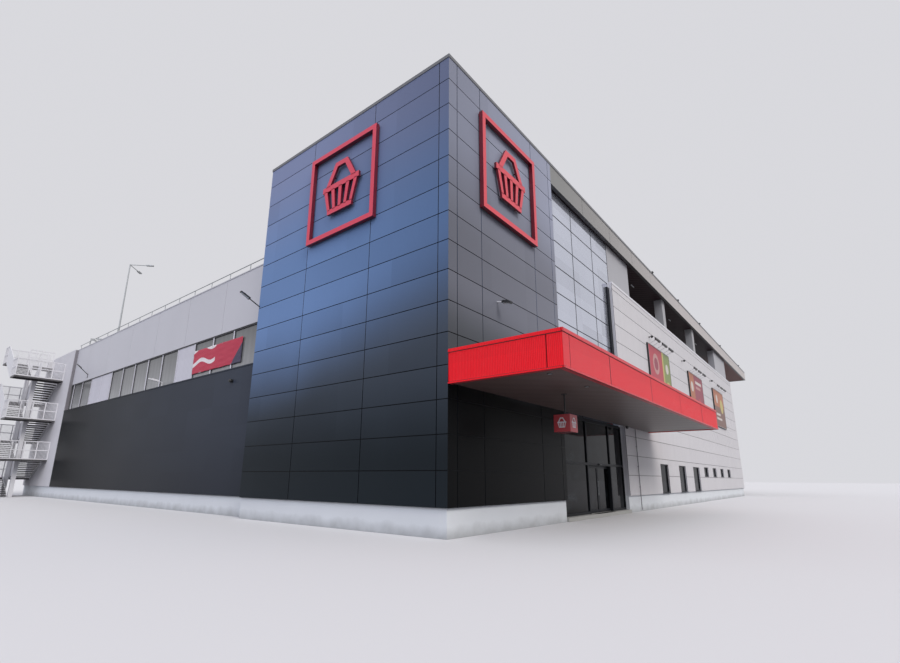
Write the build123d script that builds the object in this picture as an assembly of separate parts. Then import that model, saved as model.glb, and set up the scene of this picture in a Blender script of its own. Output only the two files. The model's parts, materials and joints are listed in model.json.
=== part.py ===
from build123d import *
import os

# Supermarket building at half its real size, in millimetres.
# Left wing along -X, entrance front towards -Y, ground at z = 0.
# While it is drawn, x = 0 and y = 0 are the outer corner of the tower.

# Levels above the lowest ground
floor_top = 85
plinth_top = 465
door_head = 1270
canopy_bottom = 2435
canopy_top = 3025
upper_floor_top = 3380
band_bottom = 3755
band_top = 4885
deck_top = 6150
left_wall_top = 6590
front_wall_top = 7015
roof_bottom = 8455
roof_top = 9060

# Walls, floors and cladding
wall = 150
plinth_setback = 50
slab = 200
cladding_row = 575
joint_width = 16
joint_depth = 12
edge_gap = 0.3
cut_past = 1

# Folded metal caps
coping_height = 35
coping_back = 25
coping_lip = 12
coping_leg = 40

# Tower at the corner
tower_width = 4365
tower_depth = 6105
tower_front_joints = (265, 1065, 3270, 4185)
tower_left_joints = (240, 2065, 4210)

# Glazed front beside the tower, places measured from the tower
glazed_width = 4100
glazing_behind_wall = 175
glazing_lap = 60
glazing_depth = 75
glazing_bar = 22
glazing_lip = 4
bar_pitch = 730
mullion_places = (1490, 2960)
corner_post_width = 170
corner_post_setback = 92
corner_post_top = 6845
pane = 16

# Entrance under the canopy, its door bay measured from the tower
jamb_step = 105
door_bay_places = (1615, 3195)
post_width = 60
leaf_gap = 10
leaf_thickness = 40
leaf_stile = 48
leaf_rail = 70
leaf_clearance = 6
leaf_travel = 700
leaf_cover = 30
leaf_head_lap = 4
track_height = 10
track_size = 60
track_wall = 6
track_slot = 22
hanger_neck = 10
hanger_root = 5
hanger_length = 90
hanger_width = 36
hanger_height = 20
hanger_inset = 120

# Long white front wall, windows as (distance from its left end, width)
front_length = 21205
tall_windows = ((3435, 980), (5910, 1035), (8210, 1150))
tall_sill = 465
tall_head = 1450
small_windows = ((10335, 865), (12235, 860), (14135, 830), (16085, 865))
small_sill = 1065
small_head = 1485
window_frame = 45
window_frame_depth = 60
window_reveal = 40
pane_inset = 20
sill_nose = 15
sill_front = 6
sill_back = 16

# Gallery above the white wall, columns measured from the wall's left end
lobby_length = 2290
column_places = (6715, 12120)
column_width = 400
column_depth = 316
end_panel_width = 3450
end_panel_inset = 170

# Upper roof, overhang columns measured from the end of the white wall
roof_overhang = 7880
fascia_thickness = 60
fascia_return = 40
fascia_trim = 8
fascia_trim_height = 28
fascia_joint_first = 2070
fascia_joint_pitch = 2228
roof_slab_depth = 90
soffit_height = 30
overhang_columns = (3330, 7230)
overhang_column_rows = (1500, 5700)
overhang_column_size = 260

# Canopy
canopy_past_corner = 2515
canopy_reach = 2065
canopy_skin = 50
canopy_return = 40
canopy_return_height = 18
canopy_lip = 12
canopy_cap_height = 55
canopy_trim_height = 25
canopy_joint_first = 230
canopy_joint_second = 1840
canopy_joint_pitch = 2330
canopy_side_joint = 260
canopy_roof_thickness = 60
canopy_roof_depth = 120
canopy_soffit_thickness = 40

# Hanging cube sign
cube_side = 320
cube_edge = 6
cube_centre = (2180, -1040)
cube_top = 2062
rod_radius = 14
rod_plate = 110
rod_plate_thickness = 8

# Square frames on the tower
sign_size = 2240
sign_bar = 110
sign_depth = 90
sign_standoff = 25
sign_lug = 70
left_sign_start = 1895
front_sign_start = 995
sign_bottom = 6150

# Billboards, starts measured from the white wall's left end
board_starts = (3175, 9175, 14550)
board_length = 2750
board_bottom = 3710
board_top = 5740
board_depth = 65
board_border = 30
board_pocket = 8
lamps_on_board = 3
lamp_pitch = 910
lamp_reach = 245
lamp_lift = 115
lamp_tube = 9
lamp_socket = 14
lamp_arm_pitch = 400
lamp_length = 620
lamp_height = 60
lamp_base = 48
lamp_lens = 34
lamp_slant = 14

# Left wing, places measured from the tower
wing_setback = 230
wing_length = 15960
band_setback = 132
upper_band_setback = 100
upper_band_wall = 100
upper_joint_first = 2472
upper_joint_pitch = 2327
cap_nose = 14
cap_height = 30
band_post = 50
band_post_depth = 32
band_post_first = 1740
band_post_pitch = 1149
band_panel_bays = (2, 8, 9)
band_panel_depth = 20
rail_height = 214
rail_tube = 13
rail_post_tube = 11
rail_post_first = 1336
rail_post_pitch = 1113
pipe_size = 100
pipe_skin = 4
banner_place = 1226
banner_length = 2790
banner_bottom = 3915
banner_top = 4643
banner_thickness = 12

# Rear end
end_wall_length = 4385

# Escape stair
stair_start = 1105
stair_width = 1780
flight_width = 790
landing_length = 760
landing_levels = (1615, 3380, 5260)
landing_thickness = 70
landing_plate = 18
landing_beam = 60
steps_per_flight = 10
tread_going = 150
tread_plate = 12
tread_nosing = 45
stringer_height = 150
stringer_thickness = 20
stair_post_size = 150
guard_height = 800
guard_sheet = 16
guard_rail = 36
guard_bays = 4
deck_gap_inset = 40

# Lamps on the roof deck as (x, distance from the named side along Y, top, arm length)
lamp_from_tower = (480, 11576, 9730, 807)
lamp_from_back = (1640, 860, 8080, 420)
roof_lamp_foot = 34
roof_lamp_head = 22
roof_lamp_arm = 15
roof_lamp_spread = 45
luminaire = (300, 110, 36)

# Places that follow from the sizes above
front_start = tower_width + glazed_width
front_end = front_start + front_length
roof_end = front_end + roof_overhang
glazing_start = tower_width - glazing_lap
glazing_end = front_start + glazing_behind_wall
glazing_back = wall + glazing_depth
jamb = front_start + jamb_step
entrance_end = jamb + glazing_lap
door_bay = tuple(tower_width + place for place in door_bay_places)
canopy_end = front_start + canopy_past_corner
lobby_end = front_start + lobby_length
wing_end = tower_depth + wing_length
back_y = wing_end + end_wall_length
banner_start = tower_depth + banner_place
stair_front = wing_end + stair_start
inner_top = roof_top - roof_slab_depth
soffit = roof_bottom + soffit_height
canopy_soffit = canopy_bottom + canopy_return_height
x_min = wing_setback - stair_width
x_max = roof_end + coping_lip
y_min = -canopy_reach
y_max = back_y
origin = Vector((x_min + x_max) / 2, (y_min + y_max) / 2, 0)


def block(x, y, z):
    """A plain box from three (low, high) pairs."""
    size = (x[1] - x[0], y[1] - y[0], z[1] - z[0])
    centre = ((x[0] + x[1]) / 2, (y[0] + y[1]) / 2, (z[0] + z[1]) / 2)
    return Pos(*centre) * Box(*size)


def joined(pieces):
    """Fuse pieces that touch into one shape."""
    first, *rest = pieces
    return first + rest if rest else first


def outline(points):
    """A closed face from its corners."""
    return make_face(Polyline(*points, close=True))


def spans(places):
    """Pairs (start, end) from pairs (start, width)."""
    return [(start, start + width) for start, width in places]


def save(name, shapes):
    """Move a node's solids to the building's own origin and write them."""
    placed = [Pos(-origin.X, -origin.Y, 0) * s for s in shapes]
    solids = [solid for s in placed for solid in s.solids()]
    shape = solids[0] if len(solids) == 1 else Compound(children=solids)
    export_step(shape, f"parts/{name}.step")


def facade_sheet(x, z, y, holes=()):
    """A wall that faces the entrance, with (x pair, z pair) holes cut through."""
    sheet = block(x, y, z)
    for hole_x, hole_z in holes:
        sheet -= block(hole_x, (y[0] - cut_past, y[1] + cut_past), hole_z)
    return sheet


def grid_holes(x, z, uprights, crossbars, bar):
    """The openings of a frame between its outer bars, uprights and crossbars."""
    xs = [x[0] + bar / 2, *uprights, x[1] - bar / 2]
    zs = [z[0] + bar / 2, *crossbars, z[1] - bar / 2]
    return [((a + bar / 2, b - bar / 2), (c + bar / 2, d - bar / 2))
            for a, b in zip(xs, xs[1:])
            for c, d in zip(zs, zs[1:])]


def guard(start, end, level, line, facing):
    """A flat guard with uprights and a middle rail, along X or along Y."""
    bar = guard_rail
    step = (end - start - bar) / guard_bays
    uprights = [start + bar / 2 + step * k for k in range(1, guard_bays)]
    top = level + guard_height
    holes = grid_holes((start, end), (level, top), uprights, [(level + top) / 2], bar)
    across = (line, line + bar)
    if facing == "front":
        return facade_sheet((start, end), (level, top), across, holes)
    sheet = block(across, (start, end), (level, top))
    for hole_y, hole_z in holes:
        sheet -= block((across[0] - cut_past, across[1] + cut_past), hole_y, hole_z)
    return sheet


def joint_levels(low, high):
    """Heights of the level joints between cladding rows, counted from the plinth."""
    count = int((high - plinth_top) / cladding_row)
    levels = [plinth_top + cladding_row * k for k in range(1, count + 1)]
    return [level for level in levels if low < level < high - joint_width]


def joints(along, z, face, facing, uprights=(), levels=None):
    """Grooves for one face of a clad wall: level ones at each row, upright ones where given."""
    half = joint_width / 2
    levels = joint_levels(*z) if levels is None else levels
    whole = (along[0] - cut_past, along[1] + cut_past)
    bars = [(whole, (level - half, level + half)) for level in levels]
    bars += [((place - half, place + half), (z[0] - cut_past, z[1] + cut_past)) for place in uprights]
    depth = (face - cut_past, face + joint_depth)
    if facing[0] == "+":
        depth = (face - joint_depth, face + cut_past)
    if facing[1] == "x":
        return [block(depth, a, h) for a, h in bars]
    return [block(a, depth, h) for a, h in bars]


def cap_section(width):
    """Section of a folded metal cap over a wall: a sloped top and two drip legs."""
    lip, leg = coping_lip, coping_leg
    return outline([(-lip, -leg), (0, -leg), (0, 0), (width, 0), (width, -leg), (width + lip, -leg),
                    (width + lip, coping_back), (-lip, coping_height)])


def carried(section, corners, level):
    """Carry a section round the building on straight runs with mitred corners.

    The runs go round with the building on their left, the section's X points inwards.
    """
    path = Polyline(*[(x, y, level) for x, y in corners])
    along = path % 0
    inwards = Vector(0, 0, 1).cross(along)
    start = Plane(origin=path @ 0, x_dir=inwards, z_dir=along)
    return sweep(start * section, path, transition=Transition.RIGHT)


def ground_floor():
    inside, z = plinth_setback + wall, (0, floor_top)
    hall = block((wing_setback + inside, front_end - inside), (inside, back_y - inside), z)
    corner = block((inside, wing_setback + inside), (inside, tower_depth - inside), z)
    threshold = block((tower_width, jamb), (0, inside), z)
    threshold += block((jamb, entrance_end), (wall, inside), z)
    return [joined([hall, corner, threshold])]


def upper_floor():
    return [block((wing_setback + wall, front_end - wall),
                  (tower_depth + wall, back_y - wall),
                  (upper_floor_top - slab, upper_floor_top))]


def roof_deck():
    z = (deck_top - slab, deck_top)
    hall = block((wing_setback + wall, front_end - wall), (wall, back_y - wall), z)
    upper_inside = wing_setback + upper_band_setback + upper_band_wall
    hall -= block((wing_setback, upper_inside), (tower_depth, wing_end), z)
    corner = block((wall, wing_setback + wall), (wall, tower_depth), z)
    behind_glass = block((glazing_start, glazing_end), (wall, glazing_back), z)
    return [joined([hall, corner]) - behind_glass]


def plinths():
    low, deep = (0, plinth_top), plinth_setback + wall
    tower = block((plinth_setback, tower_width), (plinth_setback, deep), low)
    tower += block((plinth_setback, deep), (plinth_setback, tower_depth), low)
    tower += block((plinth_setback, wing_setback + deep), (tower_depth - deep, tower_depth), low)
    front = block((jamb, front_end - plinth_setback), (plinth_setback, deep), low)
    front -= block((jamb - cut_past, entrance_end), (wall, deep + cut_past),
                   (-cut_past, plinth_top + cut_past))
    left_x = (wing_setback + plinth_setback, wing_setback + deep)
    left = block(left_x, (tower_depth, back_y - plinth_setback), low)
    right_x = (front_end - deep, front_end - plinth_setback)
    right = block(right_x, (deep, back_y - plinth_setback), low)
    back = block((left_x[1], right_x[0]), (back_y - deep, back_y - plinth_setback), low)
    return {"plinth_tower": [tower], "plinth_front": [front], "plinth_left": [left],
            "plinth_right": [right], "plinth_back": [back]}


def tower():
    high, above_deck = (plinth_top, roof_top), (deck_top, roof_top)
    left = block((0, wall), (0, tower_depth), high)
    left += block((wall, wing_setback + wall), (tower_depth - wall, tower_depth),
                  (plinth_top, deck_top - slab))
    left -= joints((0, tower_depth), high, 0, "-x", tower_left_joints)
    left -= joints((0, wall), high, 0, "-y")
    left -= joints((0, wall), above_deck, tower_depth, "+y")
    front = block((wall, tower_width), (0, wall), high)
    front -= joints((wall, tower_width), high, 0, "-y", tower_front_joints)
    back = block((wall, tower_width), (tower_depth - wall, tower_depth), above_deck)
    back -= joints((wall, tower_width), above_deck, tower_depth, "+y")
    roof = block((wall, tower_width), (wall, tower_depth - wall), (inner_top - slab, inner_top))
    corners = [(tower_width, tower_depth), (0, tower_depth), (0, 0), (tower_width, 0)]
    return {"tower_left_wall": [left], "tower_front_wall": [front], "tower_back_wall": [back],
            "tower_roof": [roof], "tower_coping": [carried(cap_section(wall), corners, roof_top)]}


def curtain_wall():
    """A slim grid of bars with nearly flush panes, and its corner post beside the white wall."""
    x, z, y = (glazing_start, glazing_end), (canopy_bottom, soffit), (wall, glazing_back)
    count = int((z[1] - canopy_top) / bar_pitch)
    bars = [z[1] - glazing_bar / 2 - bar_pitch * (k + 1) for k in range(count)][::-1]
    uprights = [tower_width + place for place in mullion_places]
    holes = grid_holes(x, z, uprights, bars, glazing_bar)
    frame = facade_sheet(x, z, y, holes)
    glass_y = (wall + glazing_lip, wall + glazing_lip + pane)
    frame += block((front_start - corner_post_width, front_start), (corner_post_setback, glass_y[0]),
                   (canopy_top, corner_post_top))
    panes = [block(hole_x, glass_y, hole_z) for hole_x, hole_z in holes]
    return {"curtain_wall_frame": [frame], "curtain_wall_glass": panes}


def entrance():
    """Fixed glazing with one bay left open for the sliding leaves."""
    x, z, y = (tower_width, entrance_end), (floor_top, canopy_bottom), (wall, glazing_back)
    posts = [x[0] + post_width / 2, *door_bay, x[1] - post_width / 2]
    bays = list(zip(posts, posts[1:]))
    low, high = (z[0] + post_width, door_head), (door_head + post_width, z[1] - post_width)
    half = post_width / 2
    holes = [((a + half, b - half), high) for a, b in bays]
    holes += [((a + half, b - half), low) for a, b in bays if (a, b) != door_bay]
    holes.append(((door_bay[0] + half, door_bay[1] - half), (z[0] - cut_past, door_head)))
    frame = facade_sheet(x, z, y, holes)
    centre = (y[0] + y[1]) / 2
    glass_y = (centre - pane / 2, centre + pane / 2)
    panes = [block(hole_x, glass_y, hole_z) for hole_x, hole_z in holes[:-1]]
    return {"entrance_frame": [frame], "entrance_glass": panes}


def leaf_line():
    """The middle of the leaves and their track along Y."""
    return glazing_back + leaf_gap + leaf_thickness / 2


def door_track():
    """A steel channel, open below, that the leaves hang in."""
    half, skin, slot = track_size / 2, track_wall, track_slot / 2
    back = leaf_gap + leaf_thickness / 2
    section = outline([(-back, 0), (-slot, 0), (-slot, skin), (-half + skin, skin),
                       (-half + skin, track_size - skin), (half - skin, track_size - skin),
                       (half - skin, skin), (slot, skin), (slot, 0), (half, 0),
                       (half, track_size), (-back, track_size)])
    reach = leaf_travel + post_width
    start = (door_bay[0] - reach, leaf_line(), door_head + track_height)
    channel = extrude(Plane(start, x_dir=(0, 1, 0), z_dir=(1, 0, 0)) * section,
                      door_bay[1] - door_bay[0] + 2 * reach)
    return {"door_track": [channel]}


def door_leaf(side):
    """One sliding leaf with its two hangers, and its pane."""
    middle, edge = sum(door_bay) / 2, leaf_clearance / 2
    if side == "left":
        x = (door_bay[0] - leaf_cover, middle - edge)
    else:
        x = (middle + edge, door_bay[1] + leaf_cover)
    centre = leaf_line()
    y = (centre - leaf_thickness / 2, centre + leaf_thickness / 2)
    z = (floor_top + leaf_clearance, door_head + leaf_head_lap)
    hole = ((x[0] + leaf_stile, x[1] - leaf_stile), (z[0] + leaf_rail, z[1] - leaf_rail))
    frame = facade_sheet(x, z, y, [hole])
    lip = door_head + track_height + track_wall
    neck, head = hanger_neck / 2, hanger_width / 2
    hanger = outline([(-neck, z[1] - hanger_root), (neck, z[1] - hanger_root), (neck, lip + edge_gap),
                      (head, lip + edge_gap), (head, lip + hanger_height), (-head, lip + hanger_height),
                      (-head, lip + edge_gap), (-neck, lip + edge_gap)])
    for place in (x[0] + hanger_inset, x[1] - hanger_inset):
        start = Plane((place - hanger_length / 2, centre, 0), x_dir=(0, 1, 0), z_dir=(1, 0, 0))
        frame += extrude(start * hanger, hanger_length)
    glass = block(hole[0], (centre - pane / 2, centre + pane / 2), hole[1])
    return {f"door_leaf_{side}": [frame], f"door_glass_{side}": [glass]}


def window_sill(x, level):
    """A sloped metal sill that fills the foot of an opening and stands out as a nose."""
    section = outline([(-sill_nose, level), (window_reveal, level),
                       (window_reveal, level + sill_back), (-sill_nose, level + sill_front)])
    start = Plane((x[0], 0, 0), x_dir=(0, 1, 0), z_dir=(1, 0, 0))
    return extrude(start * section, x[1] - x[0])


def front_wall():
    windows = [((front_start + a, front_start + b), (tall_sill, tall_head)) for a, b in spans(tall_windows)]
    windows += [((front_start + a, front_start + b), (small_sill, small_head))
                for a, b in spans(small_windows)]
    high, y = (plinth_top, front_wall_top), (0, wall)
    body = block((front_start, front_end), y, high)
    through = (-cut_past, wall + cut_past)
    body -= block((front_start - cut_past, jamb), through, (plinth_top - cut_past, canopy_bottom))
    body -= joints((front_start, front_end), high, 0, "-y")
    body -= joints(y, high, front_end, "+x")
    frames, panes = [], []
    depth = (window_reveal, window_reveal + window_frame_depth)
    for x, z in windows:
        foot = z[0] - cut_past if z[0] <= plinth_top else z[0]
        body -= block(x, through, (foot, z[1]))
        inside = ((x[0] + window_frame, x[1] - window_frame), (z[0] + window_frame, z[1] - window_frame))
        frames.append(facade_sheet(x, z, depth, [inside]) + window_sill(x, z[0]))
        panes.append(block(inside[0], (depth[0] + pane_inset, depth[0] + pane_inset + pane), inside[1]))
    coping = carried(cap_section(wall), [(front_start, 0), (front_end, 0)], front_wall_top)
    coping -= block((front_start - cut_past, glazing_end), (wall, wall + coping_lip + cut_past),
                    (front_wall_top - coping_leg - cut_past, front_wall_top + coping_height))
    return {"front_wall": [body], "window_frames": frames, "window_glass": panes,
            "front_coping": [coping]}


def gallery():
    """The room behind the curtain wall's end, two columns and the end panel, under the roof."""
    high, front = (deck_top, soffit), wall + coping_lip
    column_y = (front, front + column_depth)
    lobby = block((glazing_end, lobby_end), (front, front + wall), high)
    back = tower_depth - fascia_thickness - fascia_return
    lobby += block((lobby_end - wall, lobby_end), (front + wall, back - wall), high)
    lobby_back = block((tower_width, lobby_end), (back - wall, back), high)
    columns = [block((front_start + c, front_start + c + column_width), column_y, high)
               for c in column_places]
    panel_end = front_end - end_panel_inset
    return {"lobby_wall": [lobby], "lobby_back_wall": [lobby_back], "gallery_columns": columns,
            "gallery_end_panel": [block((panel_end - end_panel_width, panel_end), column_y, high)]}


def upper_roof():
    skin, turn = fascia_thickness, fascia_thickness + fascia_return
    height = roof_top - roof_bottom
    section = outline([(-fascia_trim, 0), (turn, 0), (turn, soffit_height), (skin, soffit_height),
                       (skin, height), (0, height), (0, fascia_trim_height),
                       (-fascia_trim, fascia_trim_height)])
    corners = [(tower_width, 0), (roof_end, 0), (roof_end, tower_depth), (tower_width, tower_depth)]
    fascia = carried(section, corners, roof_bottom)
    first, step = tower_width + fascia_joint_first, fascia_joint_pitch
    uprights = [first + step * k for k in range(int((roof_end - first) / step) + 1)]
    face = (roof_bottom + fascia_trim_height, roof_top)
    for y, facing in ((0, "-y"), (tower_depth, "+y")):
        fascia -= joints((tower_width, roof_end), face, y, facing, uprights, levels=())
    fascia -= joints((0, tower_depth), face, roof_end, "+x", overhang_column_rows, levels=())
    roof = block((tower_width, roof_end - skin), (skin, tower_depth - skin), (soffit, inner_top))
    columns = [block((x, x + overhang_column_size), (y, y + overhang_column_size), (0, soffit))
               for x in (front_end + place - overhang_column_size / 2 for place in overhang_columns)
               for y in (row - overhang_column_size / 2 for row in overhang_column_rows)]
    return {"upper_roof": [roof], "roof_fascia": [fascia],
            "roof_coping": [carried(cap_section(skin), corners, roof_top)],
            "overhang_columns": columns}


def canopy():
    """A red skin with a cap above and a trim below, round a roof plate and a soffit."""
    lip, skin, height = canopy_lip, canopy_skin, canopy_top - canopy_bottom
    section = outline([(-lip, 0), (skin + canopy_return, 0),
                       (skin + canopy_return, canopy_return_height), (skin, canopy_return_height),
                       (skin, height), (-lip, height), (-lip, height - canopy_cap_height),
                       (0, height - canopy_cap_height), (0, canopy_trim_height),
                       (-lip, canopy_trim_height)])
    front = -canopy_reach + lip
    corners = [(lip, 0), (lip, front), (canopy_end - lip, front), (canopy_end - lip, 0)]
    fascia = carried(section, corners, canopy_bottom)
    face = (canopy_bottom + canopy_trim_height + cut_past, canopy_top - canopy_cap_height - cut_past)
    count = int((canopy_end - canopy_joint_second) / canopy_joint_pitch) + 1
    uprights = [canopy_joint_first] + [canopy_joint_second + canopy_joint_pitch * k for k in range(count)]
    fascia -= joints((0, canopy_end), face, front, "-y", uprights, levels=())
    for x, facing in ((lip, "-x"), (canopy_end - lip, "+x")):
        fascia -= joints((front, 0), face, x, facing, [front + canopy_side_joint], levels=())
    inside = ((lip + skin, canopy_end - lip - skin), (front + skin, 0))
    roof_z = canopy_top - canopy_roof_depth
    top = block(*inside, (roof_z - canopy_roof_thickness, roof_z))
    low = block(*inside, (canopy_soffit, canopy_soffit + canopy_soffit_thickness))
    return {"canopy_fascia": [fascia], "canopy_roof": [top], "canopy_soffit": [low]}


def cube_sign():
    """A box sign on a rod, with a round plate against the canopy's soffit."""
    cx, cy = cube_centre
    cube = Pos(cx, cy, cube_top - cube_side / 2) * Box(cube_side, cube_side, cube_side)
    cube = fillet(cube.edges(), cube_edge)
    half = outline([(0, cube_top), (rod_radius, cube_top),
                    (rod_radius, canopy_soffit - rod_plate_thickness),
                    (rod_plate / 2, canopy_soffit - rod_plate_thickness),
                    (rod_plate / 2, canopy_soffit), (0, canopy_soffit)])
    rod = Pos(cx, cy, 0) * revolve(Plane.XZ * half, Axis.Z)
    return {"cube_sign": [cube], "cube_sign_rod": [rod]}


def sign_frames():
    """Square ring frames held off the tower by a lug behind each corner."""
    inner, lug_pitch = sign_size - 2 * sign_bar, sign_size - sign_bar
    ring = extrude(Rectangle(sign_size, sign_size) - Rectangle(inner, inner), sign_depth)
    for spot in GridLocations(lug_pitch, lug_pitch, 2, 2):
        ring += spot * extrude(Rectangle(sign_lug, sign_lug), -sign_standoff)
    middle, height = sign_size / 2, sign_bottom + sign_size / 2
    left = Plane((-sign_standoff, left_sign_start + middle, height), x_dir=(0, -1, 0), z_dir=(-1, 0, 0))
    front = Plane((front_sign_start + middle, -sign_standoff, height), x_dir=(1, 0, 0), z_dir=(0, -1, 0))
    return {"sign_frame_left": [left * ring], "sign_frame_front": [front * ring]}


def board_lamp():
    """A long trough light on two slanted arms, drawn round x = 0 with its feet at z = 0."""
    tip = Vector(0, -lamp_reach, lamp_lift)
    profile = outline([(0, 0), (lamp_base, -lamp_slant), (lamp_lens, lamp_height), (0, lamp_height)])
    start = Plane((-lamp_length / 2, -lamp_reach - lamp_lens, lamp_lift), x_dir=(0, 1, 0), z_dir=(1, 0, 0))
    lamp = extrude(start * profile, lamp_length)
    for x in (-lamp_arm_pitch / 2, lamp_arm_pitch / 2):
        lamp += extrude(Plane((x, 0, 0), z_dir=tip) * Circle(lamp_tube), tip.length)
        lamp += Pos(x, 0, 0) * extrude(Circle(lamp_socket), lamp_socket)
    return lamp - Pos(0, 0, -lamp_height / 2) * Box(2 * lamp_length, lamp_height, lamp_height)


def billboards():
    """Shallow boxes with a raised border, and a row of lamps on top of each."""
    boards, lamps = [], []
    for place in board_starts:
        start = front_start + place
        x, z = (start, start + board_length), (board_bottom, board_top)
        board = block(x, (-board_depth, 0), z)
        board -= block((x[0] + board_border, x[1] - board_border),
                       (-board_depth - cut_past, -board_depth + board_pocket),
                       (z[0] + board_border, z[1] - board_border))
        boards.append(board)
        first = sum(x) / 2 - lamp_pitch * (lamps_on_board - 1) / 2
        for k in range(lamps_on_board):
            lamps.append(Pos(first + lamp_pitch * k, -board_depth / 2, board_top) * board_lamp())
    return {"billboards": boards, "billboard_lamps": lamps}


def wing_section(z, thickness):
    """Section of a wing wall with a nose along its top edge."""
    return outline([(0, z[0]), (thickness, z[0]), (thickness, z[1]), (-cap_nose, z[1]),
                    (-cap_nose, z[1] - cap_height), (0, z[1] - cap_height)])


def along_wing(section, x, y):
    """Push a section (X outwards to inwards, Z up) along the wing."""
    return extrude(Plane((x, y[1], 0), x_dir=(1, 0, 0), z_dir=(0, -1, 0)) * section, y[1] - y[0])


def wing_places(first, pitch):
    """Places along the wing from the tower to the wing's end."""
    start = tower_depth + first
    return [start + pitch * k for k in range(int((wing_end - start) / pitch) + 1)]


def left_wing():
    """The lower wall, the window band on top of it and the upper wall, set a little back."""
    face, y, band = wing_setback, (tower_depth, wing_end), (band_bottom, band_top)
    lower = along_wing(wing_section((plinth_top, band_bottom), wall), face, y)
    outer = face + upper_band_setback
    upper = along_wing(wing_section((band_top, left_wall_top), upper_band_wall), outer, y)
    upper -= joints(y, (band_top, left_wall_top - cap_height - cut_past), outer, "-x",
                    wing_places(upper_joint_first, upper_joint_pitch), levels=())
    glass_face, half = face + band_setback, band_post / 2
    places = wing_places(band_post_first, band_post_pitch)
    posts = [block((glass_face - band_post_depth, glass_face), (place - half, place + half), band)
             for place in places]
    posts += [block((glass_face - band_panel_depth, glass_face),
                    (places[bay] + half, places[bay + 1] - half), band) for bay in band_panel_bays]
    glass = block((glass_face, glass_face + pane), y, band)
    return {"left_wall_lower": [lower], "left_wall_upper": [upper], "left_window_posts": posts,
            "left_window_glass": [glass], "downpipe": [downpipe()]}


def downpipe():
    """A square rainwater pipe in the corner between the upper wall and the end wall."""
    face = wing_setback + upper_band_setback
    x, y = (face - pipe_size, face), (wing_end - pipe_size, wing_end)
    z = (band_bottom, left_wall_top - cap_height)
    bore_x, bore_y = ((low + pipe_skin, high - pipe_skin) for low, high in (x, y))
    return block(x, y, z) - block(bore_x, bore_y, (z[0] - cut_past, z[1] + cut_past))


def banner():
    """The cloth, tied flat against the band's posts."""
    x = wing_setback + upper_band_setback
    return {"banner": [block((x - banner_thickness, x), (banner_start, banner_start + banner_length),
                             (banner_bottom, banner_top))]}


def roof_rail():
    """A tube on short round posts along the wing's edge."""
    x = wing_setback + upper_band_setback + upper_band_wall / 2
    top = left_wall_top + rail_height
    start = Plane((x, tower_depth, top), z_dir=(0, 1, 0))
    rail = extrude(start * Circle(rail_tube), wing_length)
    for place in wing_places(rail_post_first, rail_post_pitch):
        foot = Plane((x, place, left_wall_top))
        rail += extrude(foot * Circle(rail_post_tube), rail_height)
    return {"roof_rail": [rail]}


def other_walls():
    high = (plinth_top, left_wall_top)
    left = block((wing_setback, wing_setback + wall), (wing_end, back_y), high)
    far = stair_rows()[1]
    left -= block((wing_setback - cut_past, wing_setback + wall + cut_past),
                  (far[0] + deck_gap_inset, far[1] - deck_gap_inset), (deck_top, left_wall_top + cut_past))
    right_y, back_x = (wall, back_y - wall), (wing_setback + wall, front_end)
    right = block((front_end - wall, front_end), right_y, high)
    right -= joints(right_y, high, front_end, "+x")
    back = block(back_x, (back_y - wall, back_y), high)
    back -= joints(back_x, high, back_y, "+y")
    back -= joints((back_y - wall, back_y), high, front_end, "+x")
    return {"end_wall": [left], "right_wall": [right], "back_wall": [back]}


def stair_levels():
    """Near and far landing levels, from the ground up to the roof deck."""
    near = (0, *landing_levels)
    far = [(a + b) / 2 for a, b in zip(near, landing_levels)] + [deck_top]
    return near, far


def stair_rows():
    """Where the near landing, the flights and the far landing lie along Y."""
    near = (stair_front, stair_front + landing_length)
    far_start = near[1] + steps_per_flight * tread_going
    return near, (far_start, far_start + landing_length)


def stair_lanes():
    """The outer and the inner flight along X."""
    return (x_min, x_min + flight_width), (wing_setback - flight_width, wing_setback)


def stair_landings():
    """Plates on a ring of edge beams, open below."""
    near_y, far_y = stair_rows()
    near, far = stair_levels()
    landings = []
    for y, levels in ((near_y, near[1:]), (far_y, far)):
        for level in levels:
            low = level - landing_thickness
            plate = block((x_min, wing_setback), y, (low, level))
            landings.append(plate - block((x_min + landing_beam, wing_setback - landing_beam),
                                          (y[0] + landing_beam, y[1] - landing_beam),
                                          (low - cut_past, level - landing_plate)))
    return {"stair_landings": landings}


def stair_climbs():
    """Each flight as (low level, high level, way along Y, lane)."""
    near, far = stair_levels()
    climbs = []
    for k, level in enumerate(far):
        climbs.append((near[k], level, 1, 0))
        if k < len(landing_levels):
            climbs.append((level, near[k + 1], -1, 1))
    return climbs


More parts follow.
